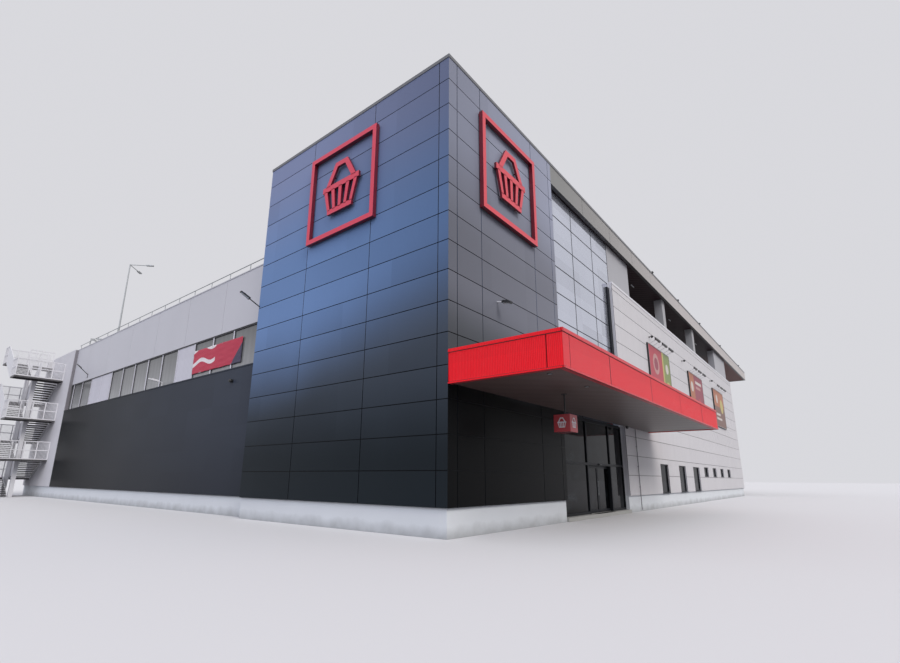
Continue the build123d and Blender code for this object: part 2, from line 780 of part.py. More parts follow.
def stair_flights():
    """Folded treads between two slanted stringers, and a slanted guard sheet on the open side."""
    near_y, far_y = stair_rows()
    treads, stringers, guards = [], [], []
    for low, high, way, lane in stair_climbs():
        x = stair_lanes()[lane]
        start = near_y[1] if way == 1 else far_y[0]
        end = start + way * steps_per_flight * tread_going
        rise = (high - low) / steps_per_flight
        going = tread_going - edge_gap
        step = outline([(0, -tread_nosing), (way * tread_plate, -tread_nosing),
                        (way * tread_plate, -tread_plate), (way * going, -tread_plate),
                        (way * going, 0), (0, 0)])
        clear = stringer_thickness
        for k in range(1, steps_per_flight):
            place = Plane((x[0] + clear, start + way * tread_going * (k - 1), low + rise * k),
                          x_dir=(0, 1, 0), z_dir=(1, 0, 0))
            treads.append(extrude(place * step, flight_width - 2 * clear))
        for side in (x[0], x[1] - clear):
            stringers.append(slanted(side, clear, (start, low), (end, high),
                                     (-landing_thickness, stringer_height - landing_thickness)))
        guards.append(slanted(x[0], guard_sheet, (start, low), (end, high),
                              (stringer_height - landing_thickness, guard_height)))
    return {"stair_treads": treads, "stair_stringers": stringers, "stair_guards": guards}


def slanted(x, thickness, start, end, z_span):
    """A sheet along a flight, as a parallelogram pushed out along X."""
    (y0, z0), (y1, z1) = start, end
    low, high = z_span
    side = outline([(y0, max(z0 + low, 0)), (y1, z1 + low), (y1, z1 + high), (y0, z0 + high)])
    return extrude(Plane((x, 0, 0), x_dir=(0, 1, 0), z_dir=(1, 0, 0)) * side, thickness)


def stair_posts():
    """Two posts between the lanes that carry the near and the far landings."""
    near_y, far_y = stair_rows()
    near, far = stair_levels()
    lanes, size = stair_lanes(), stair_post_size
    middle = (lanes[0][1] + lanes[1][0]) / 2
    x = (middle - size / 2, middle + size / 2)
    return {"stair_posts": [block(x, (near_y[1], near_y[1] + size), (0, near[-1])),
                            block(x, (far_y[0] - size, far_y[0]), (0, far[-1]))]}


def stair_rails():
    """Guards along the open edges of the landings."""
    near_y, far_y = stair_rows()
    near, far = stair_levels()
    x, bar = (x_min, wing_setback), guard_rail
    rails = []
    for level in near[1:]:
        rails.append(guard(*x, level, near_y[0], "front"))
        rails.append(guard(near_y[0] + bar + edge_gap, near_y[1] - edge_gap, level, x_min, "side"))
    for level in far:
        rails.append(guard(*x, level, far_y[1] - bar, "front"))
        rails.append(guard(far_y[0] + edge_gap, far_y[1] - bar - edge_gap, level, x_min, "side"))
    rails.append(guard(stair_lanes()[0][1], wing_setback, far[-1], far_y[0], "front"))
    return {"stair_rails": rails}


def roof_lamp_at(x, y, top, arm):
    """A tapered pole with two flat lights on arms that spread like a V over the deck."""
    lamp = Pos(x, y, (deck_top + top) / 2) * Cone(roof_lamp_foot, roof_lamp_head, top - deck_top)
    length, width, height = luminaire
    level = top - roof_lamp_head
    for turn in (-roof_lamp_spread, roof_lamp_spread):
        tube = extrude(Plane((0, 0, 0), x_dir=(0, 1, 0), z_dir=(1, 0, 0)) * Circle(roof_lamp_arm), arm)
        light = extrude(RectangleRounded(length, width, width / 3), height)
        lamp += Pos(x, y, level) * Rot(0, 0, turn) * (tube + Pos(arm, 0, -height / 2) * light)
    return lamp


def roof_lamp():
    """One lamp beside the wing's edge, placed from the tower, and one placed from the back."""
    wing_x, along, wing_top, wing_arm = lamp_from_tower
    back_x, short, back_top, back_arm = lamp_from_back
    return {"roof_lamp": [roof_lamp_at(wing_x, tower_depth + along, wing_top, wing_arm),
                          roof_lamp_at(back_x, back_y - short, back_top, back_arm)]}


def build():
    os.makedirs("parts", exist_ok=True)
    save("ground_floor", ground_floor())
    save("upper_floor", upper_floor())
    save("roof_deck", roof_deck())
    groups = [plinths(), tower(), curtain_wall(), entrance(), door_track(), door_leaf("left"),
              door_leaf("right"), front_wall(), gallery(), upper_roof(), canopy(), cube_sign(),
              sign_frames(), billboards(), left_wing(), banner(), roof_rail(), other_walls(),
              stair_landings(), stair_flights(), stair_posts(), stair_rails(), roof_lamp()]
    for group in groups:
        for name, shapes in group.items():
            save(name, shapes)


build()
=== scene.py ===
import json
import math

import bmesh
import bpy
from mathutils import Matrix, Vector


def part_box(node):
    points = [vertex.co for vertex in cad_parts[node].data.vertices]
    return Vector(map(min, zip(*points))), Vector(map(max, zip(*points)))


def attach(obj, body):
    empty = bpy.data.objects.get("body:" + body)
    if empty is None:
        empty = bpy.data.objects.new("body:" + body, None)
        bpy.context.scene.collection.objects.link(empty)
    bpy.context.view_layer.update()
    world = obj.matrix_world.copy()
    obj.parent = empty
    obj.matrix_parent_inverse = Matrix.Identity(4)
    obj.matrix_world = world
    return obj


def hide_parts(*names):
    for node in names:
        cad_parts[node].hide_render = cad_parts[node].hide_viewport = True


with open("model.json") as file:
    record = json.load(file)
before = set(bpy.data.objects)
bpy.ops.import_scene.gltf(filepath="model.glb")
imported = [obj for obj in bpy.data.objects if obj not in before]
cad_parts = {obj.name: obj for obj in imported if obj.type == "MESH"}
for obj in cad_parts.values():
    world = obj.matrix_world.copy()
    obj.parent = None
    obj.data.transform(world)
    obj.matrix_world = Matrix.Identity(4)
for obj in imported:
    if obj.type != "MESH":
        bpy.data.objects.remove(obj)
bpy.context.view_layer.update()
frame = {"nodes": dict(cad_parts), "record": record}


def box(node):
    """The lowest and the highest corner of a CAD piece."""
    return tuple(Vector(corner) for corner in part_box(node))


# Places given to at() are in metres from the tower's outer corner at ground level.
CORNER = box("tower_left_wall")[0] * Vector((1, 1, 0))
UP, DOWN = Vector((0, 0, 1)), Vector((0, 0, -1))

# The photograph's camera, solved from straight edges of the building: angles in degrees
IMAGE_WIDTH, IMAGE_HEIGHT = 900, 663
CAMERA_PLACE = (-6.2497, -4.8829, 0.9166)
CAMERA_YAW, CAMERA_PITCH, CAMERA_ROLL = 51.273, 14.236, 0.382
FOCAL_PIXELS = 488.172
PRINCIPAL_POINT = (441.961, 354.57)
SENSOR = 36.0

# Cladding: rows count up from the plinth with a joint between them
PLINTH_TOP = 0.465
ROW = 0.575
JOINT = 0.016

FRONT_LOW, FRONT_HIGH = box("front_wall")
# Windows of the white front as (distance from its left end, width, sill, head)
WINDOWS = [(3.435, 0.98, 0.465, 1.45), (5.91, 1.035, 0.465, 1.45), (8.21, 1.15, 0.465, 1.45),
           (10.335, 0.865, 1.065, 1.485), (12.235, 0.86, 1.065, 1.485),
           (14.135, 0.83, 1.065, 1.485), (16.085, 0.865, 1.065, 1.485)]
# The white front's jamb steps back beside the entrance
JAMB_STEP = 0.105
# Left ends of the billboards from the same end, and their width
BOARD_STARTS = (3.175, 9.175, 14.55)
BOARD_WIDTH = 2.75

# The canopy's red skin stands back by a lip from its cap and trim, its joints lie along the front
CANOPY_LOW, CANOPY_HIGH = box("canopy_fascia")
CANOPY_LIP = 0.012
CANOPY_JOINTS = (0.23, 1.84, 4.17, 6.5, 8.83)

# Faces with cut joints as (axis, level, inwards)
TOWER_FACES = (("X", CORNER.x, 1), ("Y", CORNER.y, 1))
CANOPY_FACES = (("Y", CANOPY_LOW.y + CANOPY_LIP, 1), ("X", CANOPY_LOW.x + CANOPY_LIP, 1),
                ("X", CANOPY_HIGH.x - CANOPY_LIP, -1))
WHITE_WALL_FACES = (("Y", CORNER.y, 1), ("X", FRONT_HIGH.x, -1), ("Y", box("back_wall")[1].y, -1))
FASCIA_FACES = (("Y", CORNER.y, 1), ("Y", box("roof_fascia")[1].y - 0.008, -1))


def at(x, y, z):
    """A place measured from the tower's corner, in the frame's metres."""
    return CORNER + Vector((x, y, z))


def linear(hex_colour):
    """An sRGB hex colour as linear red, green, blue and alpha."""
    channels = [int(hex_colour[i:i + 2], 16) / 255 for i in (1, 3, 5)]
    return tuple(c / 12.92 if c <= 0.04045 else ((c + 0.055) / 1.055) ** 2.4 for c in channels) + (1.0,)


def add(home, kind, settings=None, links=None, **properties):
    """Add a node to the tree that home is or is a socket of, with properties on the node and settings
    and links on its inputs, and return its outputs."""
    tree = home.id_data
    node = tree.nodes.new(kind)
    for name, value in properties.items():
        setattr(node, name, value)
    for key, value in (settings or {}).items():
        node.inputs[key].default_value = value
    for key, output in (links or {}).items():
        tree.links.new(output, node.inputs[key])
    return node.outputs


def new_material(name):
    """An empty material with its Object coordinates."""
    material = bpy.data.materials.new(name)
    material.use_nodes = True
    tree = material.node_tree
    tree.nodes.clear()
    return material, add(tree, "ShaderNodeTexCoord")["Object"]


def coat(material, settings, colour, height=None, depth=0.001, roughness=None):
    """The surface shader: constants on its sockets, patterns linked, height as a bump in metres."""
    tree = material.node_tree
    links = {"Base Color": colour}
    if roughness:
        links["Roughness"] = roughness
    if height:
        links["Normal"] = add(tree, "ShaderNodeBump", {"Distance": depth}, {"Height": height})[0]
    shader = add(tree, "ShaderNodeBsdfPrincipled", settings, links)
    add(tree, "ShaderNodeOutputMaterial", links={"Surface": shader[0]})
    return material


def between(pattern, low, high):
    """A pattern of 0 to 1 as a value from low to high."""
    return add(pattern, "ShaderNodeMapRange", {"To Min": low, "To Max": high}, {"Value": pattern})[0]


def tinted(colour, pattern, low, high):
    """A hex colour or a colour output, made darker or lighter by a pattern between two factors."""
    settings, links = {}, {"Scale": between(pattern, low, high)}
    if isinstance(colour, str):
        settings[0] = linear(colour)[:3]
    else:
        links[0] = colour
    return add(pattern, "ShaderNodeVectorMath", settings, links, operation="SCALE")[0]


def mottle(place, size, detail=3.0, stretch=(1, 1, 1)):
    """Soft patches about so many metres across, drawn out along an axis by a stretch under 1."""
    drawn = add(place, "ShaderNodeMapping", {"Scale": stretch}, {"Vector": place})[0]
    return add(place, "ShaderNodeTexNoise", {"Scale": 1 / size, "Detail": detail}, {"Vector": drawn})["Fac"]


def patched(place, colour, *layers):
    """A colour under layers of soft patches, each (darkest, lightest, then what mottle takes)."""
    for low, high, *patches in layers:
        colour = tinted(colour, mottle(place, *patches), low, high)
    return colour


def cell_shade(place, size):
    """One value for each cell of a size, so that neighbours differ a little."""
    cell = add(place, "ShaderNodeVectorMath", {1: size}, {0: place}, operation="SNAP")[0]
    return add(place, "ShaderNodeTexWhiteNoise", links={"Vector": cell})["Value"]


def panel_shade(place, width):
    """One value for each cladding row and each width of it."""
    foot = (-CORNER.x, -CORNER.y, -PLINTH_TOP)
    moved = add(place, "ShaderNodeVectorMath", {1: foot}, {0: place}, operation="ADD")[0]
    return cell_shade(moved, (width, width, ROW))


def round_walls(place):
    """Distance along the walls, the same way round every upright corner."""
    return add(place, "ShaderNodeVectorMath", {1: (1, 1, 0)}, {0: place}, operation="DOT_PRODUCT")["Value"]


def ramp(value, start, end, axis=None, **kind):
    """0 where a value, or a vector's part along an axis, is at the start, 1 where it is at the end."""
    if axis:
        value = add(value, "ShaderNodeSeparateXYZ", links={0: value})[axis]
    span = {"From Min": start, "From Max": end}
    return add(value, "ShaderNodeMapRange", span, {"Value": value}, **kind)[0]


def wave(value, length):
    """A sine wave of a given length along a value."""
    turns = add(value, "ShaderNodeMath", {1: 2 * math.pi / length}, {0: value}, operation="MULTIPLY")[0]
    return add(value, "ShaderNodeMath", links={0: turns}, operation="SINE")[0]


def ribs(place, pitch):
    """Upright ribs of a given pitch round the walls, as a value from 0 to 1."""
    return ramp(wave(round_walls(place), pitch), -0.6, 0.6)


def lifted(level, pattern, reach):
    """A level that a pattern lifts by up to its reach."""
    return add(level, "ShaderNodeMath", {1: reach}, {0: pattern, 2: level}, operation="MULTIPLY_ADD")[0]


def facing(place, axis, low, high):
    """1 where the surface's normal along an axis reaches high, 0 below low."""
    return ramp(add(place, "ShaderNodeNewGeometry")["Normal"], low, high, axis)


def blend(factor, low, high):
    """A mix of two colours, each a hex colour or a colour output."""
    ends = {6: low, 7: high}
    fixed = {key: linear(colour) for key, colour in ends.items() if isinstance(colour, str)}
    patterns = {key: colour for key, colour in ends.items() if key not in fixed}
    return add(factor, "ShaderNodeMix", fixed, {0: factor, **patterns}, data_type="RGBA")[2]


def grooved(place, colour, faces, shade):
    """The colour, and a dark shade in the joints cut behind faces, clear of the faces' corners."""
    behind, reach, skin = 0.009, 0.006, 0.002
    parts = add(place, "ShaderNodeSeparateXYZ", links={0: place})

    def level_with(axis, level, within):
        """1 within a distance of a plane across an axis."""
        plane = {1: level, 2: within}
        return add(place, "ShaderNodeMath", plane, {0: parts[axis]}, operation="COMPARE")[0]

    deep = None
    for axis, level, inwards in faces:
        near = level_with(axis, level + inwards * behind, reach)
        for other, edge, _ in faces:
            if other != axis:
                on_face = level_with(other, edge, skin)
                near = add(place, "ShaderNodeMath", links={0: near, 1: on_face}, operation="SUBTRACT")[0]
        if deep:
            near = add(place, "ShaderNodeMath", links={0: deep, 1: near}, operation="MAXIMUM")[0]
        deep = near
    return blend(deep, colour, shade)


def powder_coated_cassettes():
    """Satin slate cassettes with a painted reflection: a bright sky high up and dark ground further down,
    and painted shade under the canopy.
    """
    material, place = new_material("powder_coated_steel_cassette")
    waviness, slope, pale_over, dark_over = 0.8, 0.9, 4.5, 14.0
    patches = mottle(place, 3.2, 2.0)
    parts = add(place, "ShaderNodeSeparateXYZ", links={0: place})
    start = CORNER.x + CORNER.y
    across = ramp(round_walls(place), start, start + pale_over)
    wavy = lifted(parts["Z"], patches, waviness)
    sloped = lifted(wavy, across, slope)

    def rise(low, high, level=wavy):
        """A soft change of tone between two levels."""
        return ramp(level, low, high, interpolation_type="SMOOTHSTEP")

    # Painted reflection of the sky high on the walls, brighter away from the corner
    sky = tinted(blend(rise(6.0, 9.2), "#617ba4", "#717a98"), across, 0.9, 1.34)
    # Painted shade and reflection on the wing side: darker low down, the painted sky higher up
    wing_side = blend(rise(1.5, 4.0), "#21272c", "#474f5b")
    wing_side = blend(rise(3.4, 6.0, sloped), wing_side, sky)
    wing_start = box("left_wall_lower")[0].y
    # Painted shade on the wing's own wall: darker lower down and farther along the wing
    beyond = ramp(place, wing_start, wing_start + dark_over, "Y")
    wing_wall = tinted(blend(beyond, "#3e4450", "#15181b"), rise(0.4, 3.6), 0.5, 1.0)
    on_wing = add(place, "ShaderNodeMath", {1: wing_start}, {0: parts["Y"]}, operation="GREATER_THAN")[0]
    wing_side = blend(on_wing, wing_side, wing_wall)
    # Painted shade: near black on the entrance side under the canopy
    entrance_side = blend(rise(2.7, 3.1), "#060708", "#4b4e53")
    # Painted reflection on the entrance side: paler higher up and away from the corner
    front = tinted(blend(rise(5.6, 8.2), "#6d6f79", "#8a8e9f"), across, 0.96, 1.3)
    entrance_side = blend(rise(3.5, 4.8), entrance_side, front)
    # The wing side and the entrance side are painted as lit and shaded copies of one paint
    colour = blend(facing(place, "X", -0.4, -0.6), entrance_side, wing_side)
    panels = tinted(colour, panel_shade(place, 1.4), 0.94, 1.06)
    return coat(material, {"Specular IOR Level": 0.06}, grooved(place, panels, TOWER_FACES, "#101216"),
                mottle(place, 0.09, 2.0), 0.0006, between(patches, 0.28, 0.4))


def ribbed_sheet(name, colours, pitch, rib_shade, roughness, streak, faces=(), joint=""):
    """Roll-formed coated sheet: fine upright ribs with painted shade in their hollows, the wing side and
    the other faces in two colours as painted light, rows that differ a little, rain streaks, dark joints.
    """
    material, place = new_material(name)
    # The real ribs are too fine to show, so they are drawn coarser.
    rib = ribs(place, pitch)
    # Painted light: one colour on faces towards the wing side, one on the rest, and painted shade in the
    # ribs' hollows
    base = tinted(blend(facing(place, "X", -0.4, -0.6), *colours), rib, rib_shade, 1.0)
    base = tinted(base, panel_shade(place, 50.0), 0.97, 1.02)
    base = patched(place, base, (streak, 1.04, 0.25, 4.0, (1, 1, 0.08)))
    if faces:
        base = grooved(place, base, faces, joint)
    return coat(material, {"Roughness": roughness, "Specular IOR Level": 0.15}, base, rib, 0.003)


def folded_fascia():
    """Folded aluminium edge of the upper roof: its grey face pales along it as a painted reflection, over
    an underside in painted shade.
    """
    material, place = new_material("folded_aluminium_grey")
    # Painted reflection: the face pales along the roof
    far = ramp(place, CORNER.x + 5.0, CORNER.x + 18.0, "X")
    face = patched(place, blend(far, "#828280", "#b9b2b0"), (0.93, 1.05, 1.5))
    # Painted shade on the faces that look down
    base = blend(facing(place, "Z", -0.3, -0.6), face, "#19191c")
    return coat(material, {"Roughness": 0.42}, grooved(place, base, FASCIA_FACES, "#3a3b3e"),
                mottle(place, 0.12, 2.0), 0.0006)


def sign_metal(name, colour, axes):
    """Sign metal: a lacquered front towards each named axis, with much darker returns as painted shade."""
    material, place = new_material(name)
    front = facing(place, axes[0], -0.6, -0.9)
    for axis in axes[1:]:
        front = add(place, "ShaderNodeMath", links={0: front, 1: facing(place, axis, -0.6, -0.9)},
                    operation="MAXIMUM")[0]
    # Painted shade: the returns in a much darker red
    base = patched(place, blend(front, "#6b1626", colour), (0.95, 1.05, 0.6))
    return coat(material, {"Roughness": 0.3}, base, mottle(place, 0.12, 2.0), 0.0006)


def smooth_sheet(name, colour, roughness, patch=1.5, spread=0.05, gloss=0.5):
    """Flat coated sheet: even colour with wide soft patches of painted shade and reflection where it isn't
    quite flat.
    """
    material, place = new_material(name)
    # Painted shade and reflection: wide soft patches where the sheet isn't quite flat
    base = patched(place, colour, (1 - spread, 1 + spread, patch))
    return coat(material, {"Roughness": roughness, "Specular IOR Level": gloss}, base,
                mottle(place, 0.12, 2.0), 0.0006)


def reflective_glass():
    """Soft-coated solar glass: a pale lavender mirror, each pane toned a little apart and wide soft patches
    as painted reflection, with pale specks.
    """
    material, place = new_material("solar_coated_glass")
    pane = (1.47, 9, 0.73)
    # Painted reflection: each pane a little apart in tone, under wide soft patches
    base = patched(place, tinted("#ccd0dc", cell_shade(place, pane), 0.9, 1.06), (0.86, 1.12, 2.2))
    specks = add(place, "ShaderNodeTexVoronoi", {"Scale": 3.2}, {"Vector": place})["Distance"]
    return coat(material, {"Metallic": 0.7, "Roughness": 0.08, "IOR": 1.52},
                blend(ramp(specks, 0.07, 0.03), base, "#eef0f6"), mottle(place, 0.9, 1.0), 0.002)


def dark_glass(name, colour, patch, shape_colour, gloss):
    """Clear glass before an unlit room: painted nearly black for the room's shade, with soft grey shapes
    and a hard gloss.
    """
    material, place = new_material(name)
    shapes = ramp(mottle(place, patch, 5.0, (1, 1, 1.6)), 0.52, 0.72)
    # Painted shade: the glass is nearly black for the unlit room behind it
    return coat(material, {"Roughness": 0.06, "Specular IOR Level": gloss},
                blend(shapes, colour, shape_colour), mottle(place, 1.2, 1.0))


def band_glazing():
    """Translucent channel glass: grey, with painted shade towards the top, wide soft painted reflections
    and upright channel edges in painted shade.
    """
    material, place = new_material("translucent_channel_glass")
    # Painted shade: darker towards the top, below the upper wall
    base = blend(ramp(place, 3.75, 4.8, "Z"), "#98999a", "#6c6d6d")
    # Painted reflections: wide soft patches
    base = patched(place, base, (0.7, 1.22, 0.9, 3.0, (1, 1, 0.5)))
    # Channels 0.26 m wide stand for ones of 0.13 m, which are too fine to show.
    # Painted shade along the channels' edges
    base = tinted(base, ribs(place, 0.26), 0.93, 1.0)
    return coat(material, {"Roughness": 0.18, "IOR": 1.5}, base, mottle(place, 0.2, 2.0), 0.0008)


def poured_concrete(name, colour):
    """Board-finished concrete: cloudy greys, fine pores, matt."""
    material, place = new_material(name)
    base = patched(place, colour, (0.86, 1.1, 1.1, 5.0), (0.95, 1.04, 0.05))
    # Pores of 20 mm stand for the real ones of some 3 mm, which are too fine to show.
    return coat(material, {"Roughness": 0.85}, base, mottle(place, 0.02), 0.002)


def plinth_render():
    """Trowelled render: pale blue-grey, scuffed and splashed darker near the ground."""
    material, place = new_material("trowelled_plinth_render")
    level = add(place, "ShaderNodeSeparateXYZ", links={0: place})["Z"]
    splash = lifted(level, mottle(place, 0.3, 4.0), 0.2)
    base = blend(ramp(splash, 0.1, 0.3), "#b0b3b6", "#dde1e6")
    base = patched(place, base, (0.93, 1.04, 0.7, 4.0))
    # Grains of 12 mm stand for the real ones of some 2 mm, which are too fine to show.
    return coat(material, {"Roughness": 0.8}, base, mottle(place, 0.012), 0.0015)


def roof_and_soffit():
    """The upper roof: a dark brown sheet soffit in narrow boards below, in painted shade darker over the
    gallery and in the boards' grooves, lighter past the front wall's end; grey membrane on top.
    """
    material, place = new_material("soffit_boards_and_membrane")
    boards = ribs(place, 0.3)
    # Painted shade: the soffit darker over the gallery, lighter past the front wall's end, and darker in
    # the boards' grooves
    past = ramp(place, FRONT_HIGH.x - 3.0, FRONT_HIGH.x + 0.5, "X")
    below = tinted(blend(past, "#2b1b20", "#6e443c"), boards, 0.75, 1.0)
    above = patched(place, "#8b8c8b", (0.85, 1.1, 2.0, 5.0))
    colour = blend(facing(place, "Z", 0.3, 0.6), below, above)
    return coat(material, {"Roughness": 0.55, "Specular IOR Level": 0.15}, colour, boards, 0.003)


def canopy_soffit():
    """Satin soffit panels: warm dark grey with painted shade in each panel's hollow, a little paler towards
    the far end.
    """
    material, place = new_material("satin_soffit_panel")
    panels = ribs(place, 0.6)
    far = ramp(place, CORNER.x + 3.0, CORNER.x + 11.0, "X")
    # Painted shade in each panel's hollow
    base = tinted(blend(far, "#695451", "#6d6562"), panels, 0.85, 1.0)
    return coat(material, {"Roughness": 0.42}, base, panels, 0.002)


def asphalt_deck():
    """Parking deck: worn mastic asphalt, dusty grey with darker tyre lanes, rough."""
    material, place = new_material("mastic_asphalt_deck")
    # Chips of 20 to 30 mm stand for the real ones of some 8 mm, which are too fine to show.
    base = patched(place, "#8f8f8c", (0.8, 1.12, 3.5, 6.0, (1, 0.3, 1)), (0.92, 1.05, 0.03, 2.0))
    return coat(material, {"Roughness": 0.9}, base, mottle(place, 0.02, 2.0), 0.003)


def galvanised(name, colour, under=""):
    """Hot-dip galvanised steel: zinc with grey spangles and a dull shine, and painted shade where it faces
    down.
    """
    material, place = new_material(name)
    # Spangles of 17 mm, or 60 to the metre, stand for the real ones of some 8 mm, too fine to show.
    spangle = add(place, "ShaderNodeTexVoronoi", {"Scale": 60.0}, {"Vector": place})["Color"]
    grain = add(place, "ShaderNodeSeparateXYZ", links={0: spangle})["X"]
    base = tinted(colour, grain, 0.86, 1.1)
    if under:
        # Painted shade on the faces that look down
        base = blend(facing(place, "Z", -0.2, -0.6), base, under)
    return coat(material, {"Metallic": 0.6}, base, grain, 0.0003, between(grain, 0.35, 0.55))


def lamp_lacquer():
    """Billboard lamps: white lacquered arms, black heads away from the wall."""
    material, place = new_material("lacquered_board_lamp")
    out = add(place, "ShaderNodeSeparateXYZ", links={0: place})["Y"]
    head = add(place, "ShaderNodeMath", {1: CORNER.y - 0.24}, {0: out}, operation="LESS_THAN")[0]
    base = patched(place, blend(head, "#c9c9cc", "#141416"), (0.92, 1.06, 0.1))
    return coat(material, {"Roughness": 0.4}, base, mottle(place, 0.04), 0.0004)


def board_box():
    """Billboard boxes: a grey edge on the front, black sides."""
    material, place = new_material("billboard_box_lacquer")
    colour = blend(facing(place, "Y", -0.5, -0.8), "#1d1c20", "#8d8b8b")
    return coat(material, {"Roughness": 0.45}, patched(place, colour, (0.92, 1.06, 0.4)),
                mottle(place, 0.05), 0.0005)


def ink(name, colour):
    """Printed vinyl: one ink with a faint screen of dots and a slight sheen."""
    material, place = new_material(name)
    # Dots 25 mm apart stand for the real ones of 1 mm, which are too fine to show.
    dots = add(place, "ShaderNodeTexVoronoi", {"Scale": 40.0}, {"Vector": place})["Distance"]
    base = patched(place, tinted(colour, dots, 1.03, 0.94), (0.92, 1.06, 0.5, 3.0, (1, 1, 0.4)))
    return coat(material, {"Roughness": 0.42}, base, dots, 0.0003)


def banner_print():
    """Printed mesh cloth: crimson with two pale waves and a navy corner, woven and matt."""
    material, place = new_material("printed_polyester_mesh")
    low, high = box("banner")
    length, design_level = high.y - low.y, 4.24
    wave_length, swing, wave_pitch, wave_width = length * 0.42, 0.07, 0.22, 0.06
    waves_start, corner_start = length * 0.02, length * 0.42
    middle = add(place, "ShaderNodeMapping", {"Location": (0, -(low.y + high.y) / 2, -design_level)},
                 {"Vector": place})[0]
    parts = add(place, "ShaderNodeSeparateXYZ", links={0: middle})
    swung = lifted(parts["Z"], wave(parts["Y"], wave_length), swing)
    bands = add(place, "ShaderNodeMath", {1: wave_pitch}, {0: swung}, operation="PINGPONG")[0]
    on_wave = add(place, "ShaderNodeMath", {1: wave_width}, {0: bands}, operation="LESS_THAN")[0]
    inside = add(place, "ShaderNodeMath", {1: waves_start}, {0: parts["Y"]}, operation="GREATER_THAN")[0]
    pale = add(place, "ShaderNodeMath", links={0: on_wave, 1: inside}, operation="MULTIPLY")[0]
    slant = add(place, "ShaderNodeVectorMath", {1: (0, -1.0, -0.9)}, {0: middle},
                operation="DOT_PRODUCT")["Value"]
    corner = add(place, "ShaderNodeMath", {1: corner_start}, {0: slant}, operation="GREATER_THAN")[0]
    base = blend(corner, blend(pale, "#bb2244", "#e6dfe2"), "#3a3550")
    # A weave of 8 mm threads stands for the real one of 1 mm, which is too fine to show.
    weave = add(place, "ShaderNodeTexChecker", {"Scale": 1 / 0.008}, {"Vector": place})["Fac"]
    return coat(material, {"Roughness": 0.75, "Sheen Weight": 0.15}, tinted(base, weave, 0.96, 1.02),
                weave, 0.0006)


def studio_paint():
    """The studio floor: smooth paint, pale where it is seen, darker in the light it throws back."""
    material, place = new_material("studio_floor_paint")
    path = add(place, "ShaderNodeLightPath")
    seen = path["Is Camera Ray"]
    for ray in ("Is Glossy Ray", "Is Transmission Ray"):
        seen = add(place, "ShaderNodeMath", links={0: seen, 1: path[ray]}, operation="MAXIMUM")[0]
    return coat(material, {"Roughness": 0.9}, blend(seen, "#6c6c70", "#cfcfd2"))


